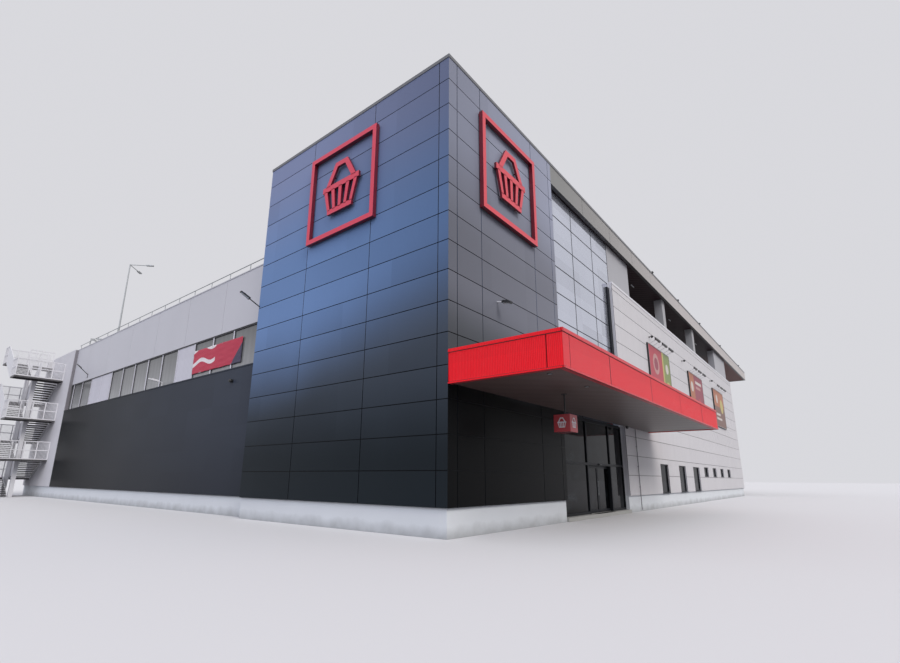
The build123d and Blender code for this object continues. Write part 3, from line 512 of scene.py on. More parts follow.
# Finishes: the usual one of each slot, then those that single pieces have instead, then a few for details
FINISHES = {
    "anthracite_cladding": powder_coated_cassettes(),
    # Coil-coated steel, roll-formed: off-white and even, a touch bluer on the wing side as painted light,
    # with thin grey joints
    "white_cladding": ribbed_sheet("ribbed_steel_white", ("#d5d3d6", "#d2d2d8"), 0.115, 0.94, 0.45, 0.93,
                                   WHITE_WALL_FACES, "#6f6c70"),
    # Coil-coated steel, flat: a cool pale grey with a soft sheen
    "silver_cladding": smooth_sheet("coated_steel_silver", "#c3c3ca", 0.4),
    "fascia_metal": folded_fascia(),
    # Coil-coated steel, roll-formed: signal red with a satin shine, painted paler pink on every face but
    # the wing side as a painted highlight
    "red_cladding": ribbed_sheet("ribbed_steel_red", ("#e2525a", "#fb1b2a"), 0.03, 0.9, 0.32, 0.95,
                                 CANOPY_FACES, "#7a1219"),
    "red_sign": sign_metal("painted_sign_aluminium", "#d5404e", ("X", "Y")),
    # Powder-coated aluminium section: near black, a dull satin
    "dark_frame": smooth_sheet("powder_coated_aluminium", "#1e2024", 0.38, 0.5, 0.06, 0.1),
    "clear_glass": dark_glass("float_glass_entrance", "#090a0c", 0.5, "#2a3034", 0.09),
    "frosted_glazing": band_glazing(),
    "concrete": poured_concrete("poured_concrete", "#a9a9a6"),
    "plinth_render": plinth_render(),
    "soffit_metal": roof_and_soffit(),
    # Bitumen sheet with slate grit: flat grey without a shine
    "roof_membrane": smooth_sheet("bitumen_roof_sheet", "#7f807f", 0.85, 0.8, 0.12),
    "galvanised_steel": galvanised("hot_dip_galvanised_steel", "#a3a6a8"),
    # Steel with sprayed paint: clean white with a soft gloss
    "white_steel": smooth_sheet("painted_steel_white", "#d9d9de", 0.35, 0.4, 0.04),
    "poster_board": board_box(),
    "banner_cloth": banner_print(),
    # Cast aluminium, lacquered black: dull, with faint soft spots
    "lamp_body": smooth_sheet("cast_aluminium_housing", "#1d1e20", 0.42, 0.2, 0.08),
    # Coated steel casing: plain mid grey, a little satin
    "facade_column": smooth_sheet("coated_steel_casing", "#a3a3a6", 0.4, 1.0),
    "curtain_wall_glass": reflective_glass(),
    "window_glass": dark_glass("float_glass_window", "#090b0c", 1.4, "#1a1e20", 0.04),
    "canopy_soffit": canopy_soffit(),
    "roof_deck": asphalt_deck(),
    # Coated steel panels: cool mid grey in wide quiet fields
    "lobby_wall": smooth_sheet("coated_steel_panel_grey", "#a6a6ab", 0.4, 1.2),
    "end_wall": poured_concrete("painted_render_white", "#cfced3"),
    "sign_frame_left": sign_metal("lacquered_sign_wing_side", "#dc3d58", ("X",)),
    "sign_frame_front": sign_metal("lacquered_sign_entrance_side", "#dc4452", ("Y",)),
    "cube_sign": sign_metal("lacquered_cube_sign", "#a8202c", ("X", "Y")),
    # Coil-coated steel, roll-formed: pale lilac grey, streaked by rain
    "left_window_posts": ribbed_sheet("ribbed_steel_band", ("#d5d4de", "#d5d4de"), 0.09, 0.9, 0.4, 0.88),
    # Folded aluminium, coated: darker grey with a broad dull shine
    "roof_coping": smooth_sheet("folded_aluminium_cap", "#6d6e72", 0.45, 1.2, 0.06),
    "billboard_lamps": lamp_lacquer(),
    # Worn stair steel, dark, with painted shade on its undersides
    "stair_landings": galvanised("worn_stair_steel_with_painted_shade", "#5b5a5c", "#2c2527"),
    # Coated steel tube: mid grey, dull
    "downpipe": smooth_sheet("coated_steel_pipe", "#77757b", 0.45, 0.5, 0.06),
    # Moulded acrylic: milky white and glossy
    "lens": smooth_sheet("moulded_acrylic_lens", "#dfe4e8", 0.2, 0.1, 0.03),
    # Extruded rubber: soft black, hardly any shine
    "seal": smooth_sheet("extruded_rubber_seal", "#1d1e21", 0.6, 0.1, 0.08),
    **{"ink_" + name: ink("vinyl_print_" + name, colour) for name, colour in (
        ("red", "#b23646"), ("crimson", "#8f2f45"), ("cream", "#cfc6c0"), ("green", "#7f8c4c"),
        ("yellow", "#bfb466"), ("orange", "#ad6743"), ("brown", "#735044"), ("rose", "#bb8a86"))},
}
# Pieces with the finish of another piece
SAME_FINISH = {"lobby_back_wall": "lobby_wall", "gallery_end_panel": "lobby_wall",
               "tower_coping": "roof_coping", "stair_treads": "stair_landings"}


def dress_nodes():
    """Give every CAD piece its own finish, or its slot's."""
    for part in frame["record"]["subparts"]:
        name = part["node"]
        own = SAME_FINISH.get(name, name)
        mesh = frame["nodes"][name].data
        mesh.materials.clear()
        mesh.materials.append(FINISHES[own if own in FINISHES else part["material_slot"]])


def new_tree(name, **sockets):
    """An empty Geometry Nodes tree: the carrier's geometry, then the named inputs."""
    tree = bpy.data.node_groups.new(name, "GeometryNodeTree")
    tree.interface.new_socket("Geometry", in_out="OUTPUT", socket_type="NodeSocketGeometry")
    for label, kind in {"Geometry": "Geometry", **sockets, "Finish": "Material"}.items():
        tree.interface.new_socket(label, in_out="INPUT", socket_type="NodeSocket" + kind)
    return tree, add(tree, "NodeGroupInput")


def close_tree(tree, geometry, finish):
    """Realize what was instanced, give it its material and end the tree."""
    real = add(tree, "GeometryNodeRealizeInstances", links={0: geometry})[0]
    dressed = add(tree, "GeometryNodeSetMaterial", links={"Geometry": real, "Material": finish})[0]
    add(tree, "NodeGroupOutput", links={0: dressed})
    return tree


def bars_tree():
    """A box on each point, as large as the point's bar_size."""
    tree, given = new_tree("bars_on_points")
    size = add(tree, "GeometryNodeInputNamedAttribute", {"Name": "bar_size"}, data_type="FLOAT_VECTOR")
    cube = add(tree, "GeometryNodeMeshCube")
    placed = add(tree, "GeometryNodeInstanceOnPoints", links={
        "Points": given["Geometry"], "Instance": cube["Mesh"], "Scale": size["Attribute"]})
    return close_tree(tree, placed[0], given["Finish"])


def tubes_tree():
    """A round tube along each edge path."""
    tree, given = new_tree("tubes_on_edges", Radius="Float", Sides="Int")
    path = add(tree, "GeometryNodeMeshToCurve", links={"Mesh": given["Geometry"]})[0]
    ring = add(tree, "GeometryNodeCurvePrimitiveCircle",
               links={"Resolution": given["Sides"], "Radius": given["Radius"]})["Curve"]
    tube = add(tree, "GeometryNodeCurveToMesh", {"Fill Caps": True}, {"Curve": path, "Profile Curve": ring})
    return close_tree(tree, tube[0], given["Finish"])


def studs_tree():
    """A low round stud on each point, along the point's stud_axis."""
    tree, given = new_tree("studs_on_points", Radius="Float", Height="Float", Sides="Int")
    axis = add(tree, "GeometryNodeInputNamedAttribute", {"Name": "stud_axis"}, data_type="FLOAT_VECTOR")
    turn = add(tree, "FunctionNodeAlignRotationToVector", links={"Vector": axis["Attribute"]}, axis="Z")
    stud = add(tree, "GeometryNodeMeshCylinder", links={
        "Vertices": given["Sides"], "Radius": given["Radius"], "Depth": given["Height"]})
    placed = add(tree, "GeometryNodeInstanceOnPoints", links={
        "Points": given["Geometry"], "Instance": stud["Mesh"], "Rotation": turn[0]})
    return close_tree(tree, placed[0], given["Finish"])


TREES = {"bars": bars_tree(), "tubes": tubes_tree(), "studs": studs_tree()}


def linked(name, data):
    """A new object in the scene, made from its data."""
    item = bpy.data.objects.new(name, data)
    bpy.context.scene.collection.objects.link(item)
    return item


def finish_piece(piece, body="building"):
    """Attach a piece to the body it rides on."""
    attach(piece, body)
    return piece


def grown(name, kind, points, slot, finish, edges=(), attribute=None, body="building", **inputs):
    """Grow one piece from points with a tree, then keep the result as a plain mesh."""
    mesh = bpy.data.meshes.new(name)
    mesh.from_pydata([tuple(p) for p in points], list(edges), [])
    if attribute:
        label, values = attribute
        layer = mesh.attributes.new(label, "FLOAT_VECTOR", "POINT")
        layer.data.foreach_set("vector", [c for value in values for c in value])
    piece = linked(name, mesh)
    modifier = piece.modifiers.new(name, "NODES")
    modifier.node_group = TREES[kind]
    inputs["Finish"] = FINISHES[finish or slot]
    for item in TREES[kind].interface.items_tree:
        if item.in_out == "INPUT" and item.name in inputs:
            modifier[item.identifier] = inputs[item.name]
    depsgraph = bpy.context.evaluated_depsgraph_get()
    result = bpy.data.meshes.new_from_object(piece.evaluated_get(depsgraph))
    result.name = name
    piece.modifiers.clear()
    piece.data = result
    return finish_piece(piece, body)


def bars(name, boxes, slot, finish=None):
    """Many boxes as one piece, each from its lowest and highest corner."""
    middles = [(Vector(a) + Vector(b)) / 2 for a, b in boxes]
    sizes = [Vector(b) - Vector(a) for a, b in boxes]
    return grown(name, "bars", middles, slot, finish, attribute=("bar_size", sizes))


def tubes(name, path, radius, slot, finish=None, sides=8, body="building"):
    """A round tube along a path of points."""
    edges = [(i, i + 1) for i in range(len(path) - 1)]
    return grown(name, "tubes", path, slot, finish, edges, body=body, Radius=radius, Sides=sides)


def studs(name, places, axis, radius, height, slot, finish=None, sides=16):
    """Low round studs at places, all along one axis."""
    return grown(name, "studs", places, slot, finish, attribute=("stud_axis", [axis] * len(places)),
                 Radius=radius, Height=height, Sides=sides)


def finished(name, work, finishes):
    """A piece from a finished bmesh, with its materials."""
    bmesh.ops.recalc_face_normals(work, faces=work.faces)
    mesh = bpy.data.meshes.new(name)
    work.to_mesh(mesh)
    work.free()
    for finish in finishes:
        mesh.materials.append(FINISHES[finish])
    return finish_piece(linked(name, mesh))


def shaped(name, shapes, slot, finishes=None, bevel=0.0):
    """A piece from flat outlines, each pushed out along a vector: (corners, push, finish number)."""
    work = bmesh.new()
    for corners, push, number in shapes:
        low = [work.verts.new(c) for c in corners]
        high = [work.verts.new(Vector(c) + Vector(push)) for c in corners]
        count = len(low)
        faces = [work.faces.new(low), work.faces.new(high[::-1])]
        faces += [work.faces.new((low[i], high[i], high[(i + 1) % count], low[(i + 1) % count]))
                  for i in range(count)]
        for face in faces:
            face.material_index = number
    bmesh.ops.recalc_face_normals(work, faces=work.faces)
    if bevel:
        bmesh.ops.bevel(work, geom=work.edges, offset=bevel, segments=1, affect="EDGES", clamp_overlap=True)
    return finished(name, work, finishes or [slot])


def turned(name, profile, foot, axis, sides=16):
    """A turned lamp or camera housing: (radius, height) pairs spun about an axis through its foot."""
    work = bmesh.new()
    aim = Vector(axis).to_track_quat("Z", "Y").to_matrix().to_4x4()
    angles = [2 * math.pi * k / sides for k in range(sides)]
    rings = [[work.verts.new((radius * math.cos(a), radius * math.sin(a), height)) for a in angles]
             for radius, height in profile]
    for a, b in zip(rings, rings[1:]):
        for k in range(sides):
            work.faces.new((a[k], a[(k + 1) % sides], b[(k + 1) % sides], b[k]))
    work.faces.new(rings[0][::-1])
    work.faces.new(rings[-1])
    work.transform(Matrix.Translation(foot) @ aim)
    piece = finished(name, work, ["lamp_body"])
    piece.data.shade_smooth()
    piece.data.set_sharp_from_angle(angle=math.radians(35))


def row_levels(top):
    """Cladding row spans between joints, from the plinth up to a top."""
    levels = [PLINTH_TOP]
    while levels[-1] + ROW < top - JOINT:
        levels.append(levels[-1] + ROW)
    half = JOINT / 2
    return [(a + half, b - half) for a, b in zip(levels, levels[1:])] + [(levels[-1] + half, top)]


def canopy_ribs():
    """Raised ribs of the red sheet on the canopy's three open sides; round it dark strips of painted shadow
    under its cap and painted shade in the gap over its trim, and dark sealing strips at its joints.
    """
    rib, proud, pitch, trim, cap = 0.01, 0.002, 0.03, 0.027, 0.057
    low, high = CANOPY_LOW, CANOPY_HIGH
    left, right, front = low.x + CANOPY_LIP, high.x - CANOPY_LIP, low.y + CANOPY_LIP
    foot, top = low.z + trim, high.z - cap
    boxes = []
    for k in range(1, int((right - left) / pitch)):
        x = left + pitch * k
        boxes.append(((x, front - proud, foot), (x + rib, front, top)))
    for k in range(1, int((high.y - front) / pitch)):
        y = front + pitch * k
        boxes.append(((left - proud, y, foot), (left, y + rib, top)))
        boxes.append(((right, y, foot), (right + proud, y + rib, top)))
    bars("canopy_ribs", boxes, "red_cladding")
    # Dark strips of painted shadow under the cap and painted shade in the gap over the trim, and dark
    # sealing strips at the joints
    thick, half_joint, top_shadow_strip, foot_shade_strip, below = 0.003, 0.005, 0.008, 0.007, 0.002
    runs = ((left, right, front - thick, front), (left - thick, left, front, high.y),
            (right, right + thick, front, high.y))
    levels = ((top - top_shadow_strip, top_shadow_strip), (foot - below, foot_shade_strip))
    shadow_strips_and_seals = [((a, c, z), (b, d, z + tall)) for z, tall in levels for a, b, c, d in runs]
    for x in (CORNER.x + joint for joint in CANOPY_JOINTS):
        shadow_strips_and_seals.append(((x - half_joint, front - thick, foot), (x + half_joint, front, top)))
    bars("canopy_shadow_strips_and_seals", shadow_strips_and_seals, "dark_frame", "seal")


def white_wall_ribs():
    """Low ribs of the white sheet in every cladding row, stopping at windows."""
    pitch, rib, proud, sunk, window_trim, head_trim = 0.115, 0.012, 0.002, 0.001, 0.02, 0.04
    low, high = FRONT_LOW, FRONT_HIGH
    holes = [(low.x + start - window_trim, low.x + start + width + window_trim, sill, head)
             for start, width, sill, head in WINDOWS]
    boxes = []
    for z0, z1 in row_levels(high.z - head_trim):
        for k in range(1, int((high.x - low.x) / pitch)):
            x = low.x + pitch * k
            under_canopy = z0 < CANOPY_LOW.z and x < low.x + JAMB_STEP
            blocked = any(a < x + rib and x < b and c < z1 and z0 < d for a, b, c, d in holes)
            if not under_canopy and not blocked:
                boxes.append(((x, low.y - proud, z0), (x + rib, low.y + sunk, z1)))
    bars("front_wall_ribs", boxes, "white_cladding")


def coping_straps():
    """Cover straps over the butt joints of the wall caps."""
    proud, strap, drop, lap, back_gap = 0.002, 0.05, 0.075, 0.09, 0.02
    for node, slot, pitch, count in (("roof_coping", "fascia_metal", 2.228, 14),
                                     ("front_coping", "white_steel", 2.3, 9)):
        low, high = box(node)
        spans = [(low.y - proud, high.y - back_gap)]
        if node == "roof_coping":
            spans = [(low.y - proud, low.y + lap), (high.y - lap, high.y + proud)]
        boxes = [((x, start, high.z - drop), (x + strap, end, high.z + proud))
                 for x in (low.x + pitch * k for k in range(1, count + 1)) for start, end in spans]
        bars(node + "_straps", boxes, slot)


def parapet_caps():
    """Thin folded caps on the deck's parapets at the back, right and rear left."""
    over, thick, gap_start, gap_end = 0.012, 0.018, 0.72, 0.04
    top = box("back_wall")[1].z
    boxes = [((low.x - over, low.y, top), (high.x, high.y, top + thick))
             for low, high in (box("right_wall"), box("back_wall"))]
    low, high = box("end_wall")
    landing = box("stair_landings")[1].y
    for start, end in ((low.y, landing - gap_start), (landing - gap_end, high.y)):
        boxes.append(((low.x, start, top), (high.x + over, end, top + thick)))
    bars("parapet_caps", boxes, "white_steel")


def guard_infill():
    """Thin upright bars inside every guard frame of the stair."""
    bar, rail, pitch, tall, length = 0.01, 0.036, 0.045, 0.8, 0.76
    low, high = box("stair_landings")
    wall_x = box("stair_rails")[1].x
    near = [1.615, 3.38, 5.26]
    far = [(a + b) / 2 for a, b in zip([0, *near], near)] + [6.15]
    boxes = []
    for levels, line, start in ((near, low.y + rail / 2, low.y), (far, high.y - rail / 2, high.y - length)):
        for level in levels:
            foot, top = level + rail, level + tall - rail
            for k in range(1, int((wall_x - low.x) / pitch)):
                x = low.x + pitch * k
                boxes.append(((x, line - bar / 2, foot), (x + bar, line + bar / 2, top)))
            x = low.x + rail / 2
            for k in range(1, int(length / pitch)):
                y = start + pitch * k
                boxes.append(((x - bar / 2, y, foot), (x + bar / 2, y + bar, top)))
    bars("stair_guard_bars", boxes, "white_steel")


def canopy_lights():
    """Recessed round lights in the canopy's soffit, each a dark ring with a pale lens, and a dome."""
    level, tall, lens_drop = box("canopy_soffit")[0].z, 0.008, 0.005
    places = [at(x, y, level - tall / 2) for x, y in ((0.356, -1.662), (1.696, -1.685))]
    studs("canopy_light_rings", places, DOWN, 0.04, tall, "lamp_body")
    lenses = [place + DOWN * lens_drop for place in places]
    studs("canopy_light_lenses", lenses, DOWN, 0.03, tall / 2, "lamp_body", "lens")
    turned("canopy_dome_camera", [(0.05, 0), (0.05, 0.02), (0.045, 0.05), (0.03, 0.07), (0.008, 0.078)],
           at(8.527, -0.08, level), DOWN)


def floodlight(name, foot, knee, head, size, slot="lamp_body", arm_finish=None):
    """A bracket arm of two runs with a flat ribbed floodlight at its end."""
    tubes(name + "_arm", [foot, knee, head], 0.014, slot, arm_finish)
    length, width, height = size
    way = (head - knee).normalized()
    across = way.cross(UP).normalized()
    up = across.cross(way)
    start = head - across * width / 2 - up * height / 2
    rib, rib_long, rib_tall, lens_sunk, lens_tall = 0.05, 0.7, 0.35, 0.003, 0.004
    # The head's parts: corners as shares of its width and length, then rise, thickness and finish
    parts = [([(0, 0), (1, 0), (0.86, 1), (0.14, 1)], 0, height, 0),
             ([(0.12, 0.1), (0.88, 0.1), (0.82, 0.9), (0.18, 0.9)], -lens_sunk, lens_tall, 1)]
    for a in (0.2 + 0.13 * k for k in range(5)):
        corners = [(a, 0), (a + rib, 0), (a + rib, rib_long), (a, rib_long)]
        parts.append((corners, height, height * rib_tall, 0))
    across, way = across * width, way * length
    shapes = [([start + across * a + way * b + up * rise for a, b in corners], up * thick, number)
              for corners, rise, thick, number in parts]
    shaped(name + "_head", shapes, slot, [slot, "lens"])


def wall_lamps():
    """The wall-mounted floodlights, square to their walls: two on the tower, two along the wing."""
    floodlight("tower_corner_light", at(0.0, 6.078, 5.112), at(-0.12, 6.078, 5.167),
               at(-0.29, 6.078, 5.245), (0.28, 0.1, 0.035))
    floodlight("tower_front_light", at(1.581, 0.0, 4.33), at(1.581, -0.08, 4.31),
               at(1.581, -0.14, 4.295), (0.19, 0.12, 0.045), arm_finish="white_steel")
    floodlight("wing_end_light", at(0.33, 20.023, 5.169), at(0.12, 20.023, 5.345),
               at(0.05, 20.023, 5.404), (0.23, 0.08, 0.03))
    floodlight("wing_band_light", at(0.31, 12.149, 3.755), at(0.31, 12.149, 3.915),
               at(0.2, 12.149, 3.93), (0.31, 0.09, 0.045), "white_steel")
    bars("wing_lamp_plates", [(at(0.318, 20.003, 5.022), at(0.33, 20.043, 5.2)),
                              (at(0.28, 12.11, 3.755), at(0.34, 12.19, 3.767))], "lamp_body")


def fascia_lights():
    """Small floodlights on the upper roof's edge, each on a short bracket."""
    top = box("roof_coping")[1].z
    shapes = []
    for x in (13.45, 17.5, 22.0, 27.7, 34.7):
        foot, head = at(x, 0.02, top), at(x - 0.05, -0.012, top - 0.055)
        for start, wide, rise, push in ((foot, 0.03, (0, 0, 0.05), (0, -0.03, 0)),
                                        (head, 0.13, (0, -0.05, 0.075), (0, 0.03, 0.02))):
            side, rise = Vector((wide, 0, 0)), Vector(rise)
            shapes.append(([start, start + side, start + side + rise, start + rise], push, 0))
    shaped("roof_edge_lights", shapes, "lamp_body", bevel=0.004)


def gallery_lights():
    """Short slim tube lights below the gallery's soffit."""
    level = box("upper_roof")[0].z
    boxes = [(at(x, 0.62, level - 0.03), at(x + 0.32, 0.65, level)) for x in (12.7, 18.2, 23.7)]
    bars("gallery_tube_lights", boxes, "white_steel", "lens")


def wall_sensors():
    """Small cameras on brackets on the white wall, and a dome on the wing."""
    bracket = [(0.03, 0), (0.03, 0.025), (0.012, 0.03), (0.012, 0.07)]
    housing = [(0.045, 0.075), (0.05, 0.1), (0.046, 0.125), (0.03, 0.15), (0.01, 0.16)]
    for number, (x, z) in enumerate(((12.075, 6.038), (16.876, 6.043), (22.833, 6.078)), 1):
        turned("wall_camera_" + str(number), bracket + housing, at(x, 0.0, z), (0, -1, 0), 14)
    turned("wing_dome_camera",
           [(0.045, 0), (0.045, 0.02), (0.05, 0.05), (0.045, 0.08), (0.03, 0.1), (0.008, 0.108)],
           at(0.23, 7.45, 3.39), (-1, 0, 0))


def rain_pipe():
    """A slim pipe beside the entrance, from the canopy down to the plinth, with its clips."""
    x, out, foot, top = 9.43, -0.025, 0.05, CANOPY_LOW.z
    tubes("entrance_rain_pipe", [at(x, out, foot), at(x, out, top)], 0.012, "silver_cladding",
          "downpipe", 10)
    clips = [(at(x - 0.02, -0.04, z), at(x + 0.02, 0.0, z + 0.015)) for z in (0.7, 1.3, 1.9)]
    bars("entrance_rain_pipe_clips", clips, "silver_cladding", "downpipe")


def band_trims():
    """Dark sealing strips along the wing's window band and beside its posts, and a dark strip of painted
    shadow under the upper wall's face.
    """
    proud, tall, post_proud, beside, width, pitch = 0.012, 0.022, 0.02, 0.006, 0.05, 1.149
    face_out, shadow_thick, shadow_tall, shadow_end = 0.014, 0.003, 0.04, 0.1
    low, high = box("left_window_glass")
    boxes = [((low.x - proud, low.y, z), (low.x, high.y, z + tall)) for z in (low.z, high.z - tall)]
    # Painted shadow: a dark strip under the upper wall's face
    face = box("left_wall_upper")[0].x + face_out
    boxes.append(((face - shadow_thick, low.y, high.z), (face, high.y - shadow_end, high.z + shadow_tall)))
    y = box("left_window_posts")[0].y
    while y < high.y - width:
        for start in (y - beside, y + width):
            boxes.append(((low.x - post_proud, start, low.z), (low.x, start + beside, high.z)))
        y += pitch
    bars("window_band_seals_and_shadow_strip", boxes, "dark_frame", "seal")


def basket(middle, across, up, out, size, depth):
    """A shopping basket drawn with bars as shares of its size: rim, base, an arched handle and slats."""
    outlines = [[(-0.36, 0.02), (0.36, 0.02), (0.36, 0.1), (-0.36, 0.1)],
                [(-0.24, -0.34), (0.24, -0.34), (0.245, -0.27), (-0.245, -0.27)],
                [(0.3, 0.09), (0.12, 0.41), (-0.12, 0.41), (-0.3, 0.09), (-0.215, 0.09), (-0.075, 0.34),
                 (0.075, 0.34), (0.215, 0.09)]]
    for k in range(-2, 3):
        top, foot = 0.15 * k, 0.11 * k
        outlines.append([(foot - 0.026, -0.28), (foot + 0.026, -0.28), (top + 0.032, 0.03),
                         (top - 0.032, 0.03)])
    return [([middle + across * a * size + up * b * size for a, b in outline], out * depth, 0)
            for outline in outlines]


def sign_baskets():
    """The baskets inside the two square frames, held off the tower on pins."""
    gap, depth, size = 0.055, 0.055, 1.7
    pin_places = ((-0.5, 0.1), (0.5, 0.1), (0, 0.1), (-0.3, -0.52), (0.3, -0.52), (0.31, 0.4), (-0.31, 0.4))
    for name, across, out in (("left", Vector((0, -1, 0)), Vector((-1, 0, 0))),
                              ("front", Vector((1, 0, 0)), Vector((0, -1, 0)))):
        low, high = box("sign_frame_" + name)
        middle = (low + high) / 2
        if name == "left":
            middle.x = CORNER.x - gap
        else:
            middle.y = CORNER.y - gap
        shaped("sign_basket_" + name, basket(middle, across, UP, out, size, depth), "red_sign",
               ["sign_frame_" + name])
        pins = [middle + across * a + UP * b - out * gap / 2 for a, b in pin_places]
        studs("sign_pins_" + name, pins, out, 0.015, gap, "dark_frame", sides=10)


def cube_baskets():
    """White baskets on the four upright faces of the hanging cube."""
    low, high = box("cube_sign")
    middle, half, sunk, depth = (low + high) / 2, (high.x - low.x) / 2, 0.001, 0.004
    shapes = []
    for turn in range(4):
        out = Matrix.Rotation(math.radians(90 * turn), 3, "Z") @ Vector((1, 0, 0))
        shapes += basket(middle + out * (half - sunk), UP.cross(out), UP, out, half * 1.5, depth)
    shaped("cube_sign_baskets", shapes, "white_steel")


# Plain poster layouts: fields as (left, right, foot, top, ink) and discs as (across, up, radius, ink),
# all as shares of the board
POSTERS = (
    ([(0, 1, 0, 1, "red"), (0.62, 1, 0, 1, "green"), (0.08, 0.5, 0.12, 0.18, "cream"),
      (0.08, 0.42, 0.24, 0.3, "cream"), (0.62, 0.68, 0, 1, "yellow")],
     [(0.3, 0.68, 0.2, "rose"), (0.3, 0.68, 0.12, "crimson"), (0.84, 0.3, 0.14, "yellow"),
      (0.84, 0.7, 0.1, "cream")]),
    ([(0, 1, 0, 1, "crimson"), (0, 0.34, 0, 1, "orange"), (0.44, 0.9, 0.8, 0.87, "cream"),
      (0.44, 0.8, 0.68, 0.74, "rose"), (0.05, 0.29, 0.1, 0.4, "rose")],
     [(0.17, 0.68, 0.12, "cream"), (0.66, 0.3, 0.17, "red"), (0.66, 0.3, 0.09, "cream")]),
    ([(0, 1, 0, 1, "brown"), (0, 1, 0.55, 1, "orange"), (0.1, 0.5, 0.3, 0.36, "cream"),
      (0.1, 0.62, 0.18, 0.24, "cream")],
     [(0.74, 0.6, 0.2, "yellow"), (0.3, 0.76, 0.12, "cream")]),
)


def posters():
    """Printed sheets in the billboards' pockets: plain fields, bars and discs in thin layers."""
    border, sunk, sheet, field_step, disc, disc_step = 0.03, 0.008, 0.001, 0.0004, 0.0032, 0.0006
    low, high = box("billboards")
    inks = sorted(name for name in FINISHES if name.startswith("ink_"))
    wide, tall = BOARD_WIDTH - 2 * border, high.z - low.z - 2 * border
    circle = [(math.cos(t), math.sin(t)) for t in (2 * math.pi * k / 32 for k in range(32))]
    for number, (start, (fields, discs)) in enumerate(zip(BOARD_STARTS, POSTERS), 1):
        corner = Vector((FRONT_LOW.x + start + border, low.y + sunk, low.z + border))
        layers = [([(wide * x, tall * z) for x, z in ((a, c), (b, c), (b, d), (a, d))],
                   sheet * (layer > 0), sheet + field_step * layer, tone)
                  for layer, (a, b, c, d, tone) in enumerate(fields)]
        layers += [([(wide * a + tall * radius * x, tall * (b + radius * z)) for x, z in circle],
                    sheet, disc + disc_step * layer, tone)
                   for layer, (a, b, radius, tone) in enumerate(discs)]
        shapes = [([corner + Vector((x, -lift, z)) for x, z in points], (0, -thick, 0),
                   inks.index("ink_" + tone)) for points, lift, thick, tone in layers]
        shaped("poster_" + str(number), shapes, "poster_board", inks)


def hung_banner():
    """The cloth laced to the band's posts: scalloped edges, pulled folds and a slight belly."""
    low, high = box("banner")
    length, tall = high.y - low.y, high.z - low.z
    columns, rows = 138, 36
    scallop_deep, scallop_reach, fold_deep, fold_reach = 0.012, 0.3, 0.0025, 0.16
    ripple_deep, settle, eyelet_edge, eyelet_proud = 0.003, 0.001, 0.025, 0.002
    pulls = [low.y, *(low.y + place for place in (0.514, 1.088, 1.663, 2.237)), high.y]
    points, faces = [], []
    for j in range(rows + 1):
        for i in range(columns + 1):
            a, b = i / columns, j / rows
            y = low.y + length * a
            near = min(abs(y - place) for place in pulls)
            scallop = scallop_deep * min(near / scallop_reach, 1) ** 1.5 * (2 * b - 1)
            fold = sum(math.exp(-((y - place) / fold_reach) ** 2)
                       * math.cos(9 * math.pi * (b - 0.5) + 3 * place) for place in pulls)
            ripple = math.sin(21 * a + 5 * b) * math.sin(2.2 * math.pi * b)
            x = (low.x + high.x) / 2 + fold_deep * fold + ripple_deep * ripple - settle
            points.append((x, y, low.z + tall * b - scallop))
    for j in range(rows):
        for i in range(columns):
            first = j * (columns + 1) + i
            faces.append((first, first + columns + 1, first + columns + 2, first + 1))
    mesh = bpy.data.meshes.new("banner_cloth")
    mesh.from_pydata(points, [], faces)
    mesh.materials.append(FINISHES["banner_cloth"])
    mesh.shade_smooth()
    piece = linked("banner_cloth", mesh)
    piece.modifiers.new("cloth_thickness", "SOLIDIFY").thickness = 0.002
    eyelets = studs("banner_eyelets", [Vector((low.x + eyelet_proud, y, z)) for y in pulls[1:-1]
                                       for z in (low.z + eyelet_edge, high.z - eyelet_edge)],
                    (-1, 0, 0), 0.01, 0.006, "galvanised_steel", sides=10)
    finish_piece(piece)
    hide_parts("banner")


def entrance_fittings():
    """Pull bars on the sliding leaves, a motion sensor over them and a foot mat in the doorway."""
    pull_inset, pull_proud, pull_radius, pull_foot, pull_top = 0.024, 0.0045, 0.004, 0.42, 0.78
    left, right = box("door_leaf_left"), box("door_leaf_right")
    for side, low, x in (("left", left[0], left[1].x - pull_inset),
                         ("right", right[0], right[0].x + pull_inset)):
        path = [Vector((x, low.y - pull_proud, low.z + rise)) for rise in (pull_foot, pull_top)]
        tubes("door_pull_" + side, path, pull_radius, "galvanised_steel", sides=10, body="leaf_" + side)
    middle, front = (left[1].x + right[0].x) / 2, box("entrance_frame")[0].y
    wide, deep, level = 0.18, 0.03, 1.285
    corner = Vector((middle - wide / 2, front - deep, level))
    outline = [corner + Vector((x, 0, z)) for x, z in ((0, 0), (wide, 0), (0.165, 0.035), (0.015, 0.035))]
    shaped("door_sensor", [(outline, (0, deep, 0), 0)], "lamp_body", bevel=0.004)
    floor, slat, slat_pitch, slats = box("ground_floor")[1].z, 0.02, 0.03, 40
    mat_deep, mat_thick = 0.13, 0.004
    mat = [(Vector((x, front - mat_deep, floor)), Vector((x + slat, front, floor + mat_thick)))
           for x in (middle - slat_pitch * slats / 2 + slat_pitch * k for k in range(slats))]
    bars("doorway_mat", mat, "dark_frame", "seal")


def deck_drains():
    """Round floor drains over the parking deck."""
    level, tall = box("roof_deck")[1].z, 0.006
    drains = [at(x, y, level + tall / 2) for x in (4.0, 11.5, 19.0, 26.5) for y in (8.5, 15.5, 22.5)]
    studs("deck_drains", drains, UP, 0.09, tall, "galvanised_steel")


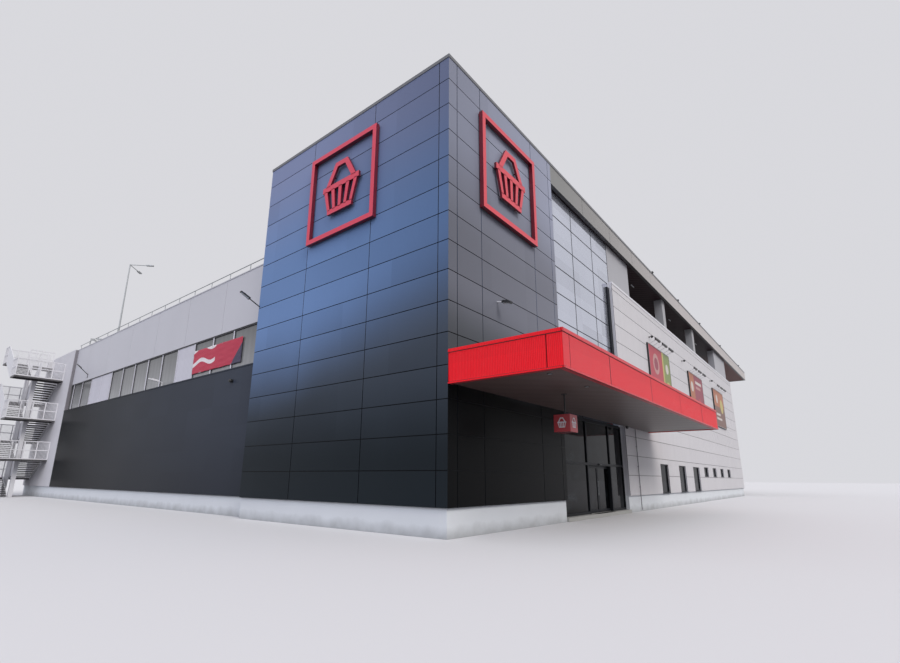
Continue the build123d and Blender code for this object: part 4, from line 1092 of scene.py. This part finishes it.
def camera():
    """The solved camera: its turn from yaw, pitch and roll, its shift from the principal point."""
    yaw, pitch, roll = (math.radians(a) for a in (CAMERA_YAW, CAMERA_PITCH, CAMERA_ROLL))
    forward = Vector((math.sin(yaw) * math.cos(pitch), math.cos(yaw) * math.cos(pitch), math.sin(pitch)))
    level = Vector((math.cos(yaw), -math.sin(yaw), 0))
    above = level.cross(forward)
    right = level * math.cos(roll) + above * math.sin(roll)
    up = above * math.cos(roll) - level * math.sin(roll)
    data = bpy.data.cameras.new("photo_camera")
    data.sensor_width = SENSOR
    data.lens = SENSOR * FOCAL_PIXELS / IMAGE_WIDTH
    data.shift_x = (IMAGE_WIDTH / 2 - PRINCIPAL_POINT[0]) / IMAGE_WIDTH
    data.shift_y = (PRINCIPAL_POINT[1] - IMAGE_HEIGHT / 2) / IMAGE_WIDTH
    data.clip_end = 500
    eye = linked("photo_camera", data)
    turn = Matrix((right, up, -forward)).transposed().to_4x4()
    eye.matrix_world = Matrix.Translation(at(*CAMERA_PLACE)) @ turn
    bpy.context.scene.camera = eye


def lamp(name, direction, energy, colour, spread):
    """A soft sun shining along a direction."""
    light = bpy.data.lights.new(name, "SUN")
    light.energy = energy
    light.color = linear(colour)[:3]
    light.angle = math.radians(spread)
    linked(name, light).rotation_euler = Vector(direction).to_track_quat("-Z", "Y").to_euler()


def studio():
    """A pale floor, an even pale sky, a soft sun on the entrance front and a cool one on the wing."""
    scene, floor_size, floor_level, sky_strength = bpy.context.scene, 600, -0.002, 0.9
    scene.view_settings.view_transform = "Standard"
    bpy.ops.mesh.primitive_plane_add(size=floor_size, location=(0, 0, floor_level))
    floor = bpy.context.object
    floor.name = "studio_floor"
    floor.data.materials.append(studio_paint())
    world = bpy.data.worlds.new("studio_sky")
    scene.world = world
    world.use_nodes = True
    sky = world.node_tree.nodes["Background"].inputs
    sky["Color"].default_value = linear("#e3e3e8")
    sky["Strength"].default_value = sky_strength
    lamp("entrance_sun", (0.25, 1.0, -0.9), 1.75, "#fffaf4", 30)
    lamp("wing_sky", (1.0, 0.2, -0.6), 0.95, "#eaeeff", 50)


camera()
studio()
dress_nodes()
canopy_ribs()
white_wall_ribs()
coping_straps()
parapet_caps()
guard_infill()
canopy_lights()
wall_lamps()
fascia_lights()
gallery_lights()
wall_sensors()
rain_pipe()
band_trims()
sign_baskets()
cube_baskets()
posters()
hung_banner()
entrance_fittings()
deck_drains()
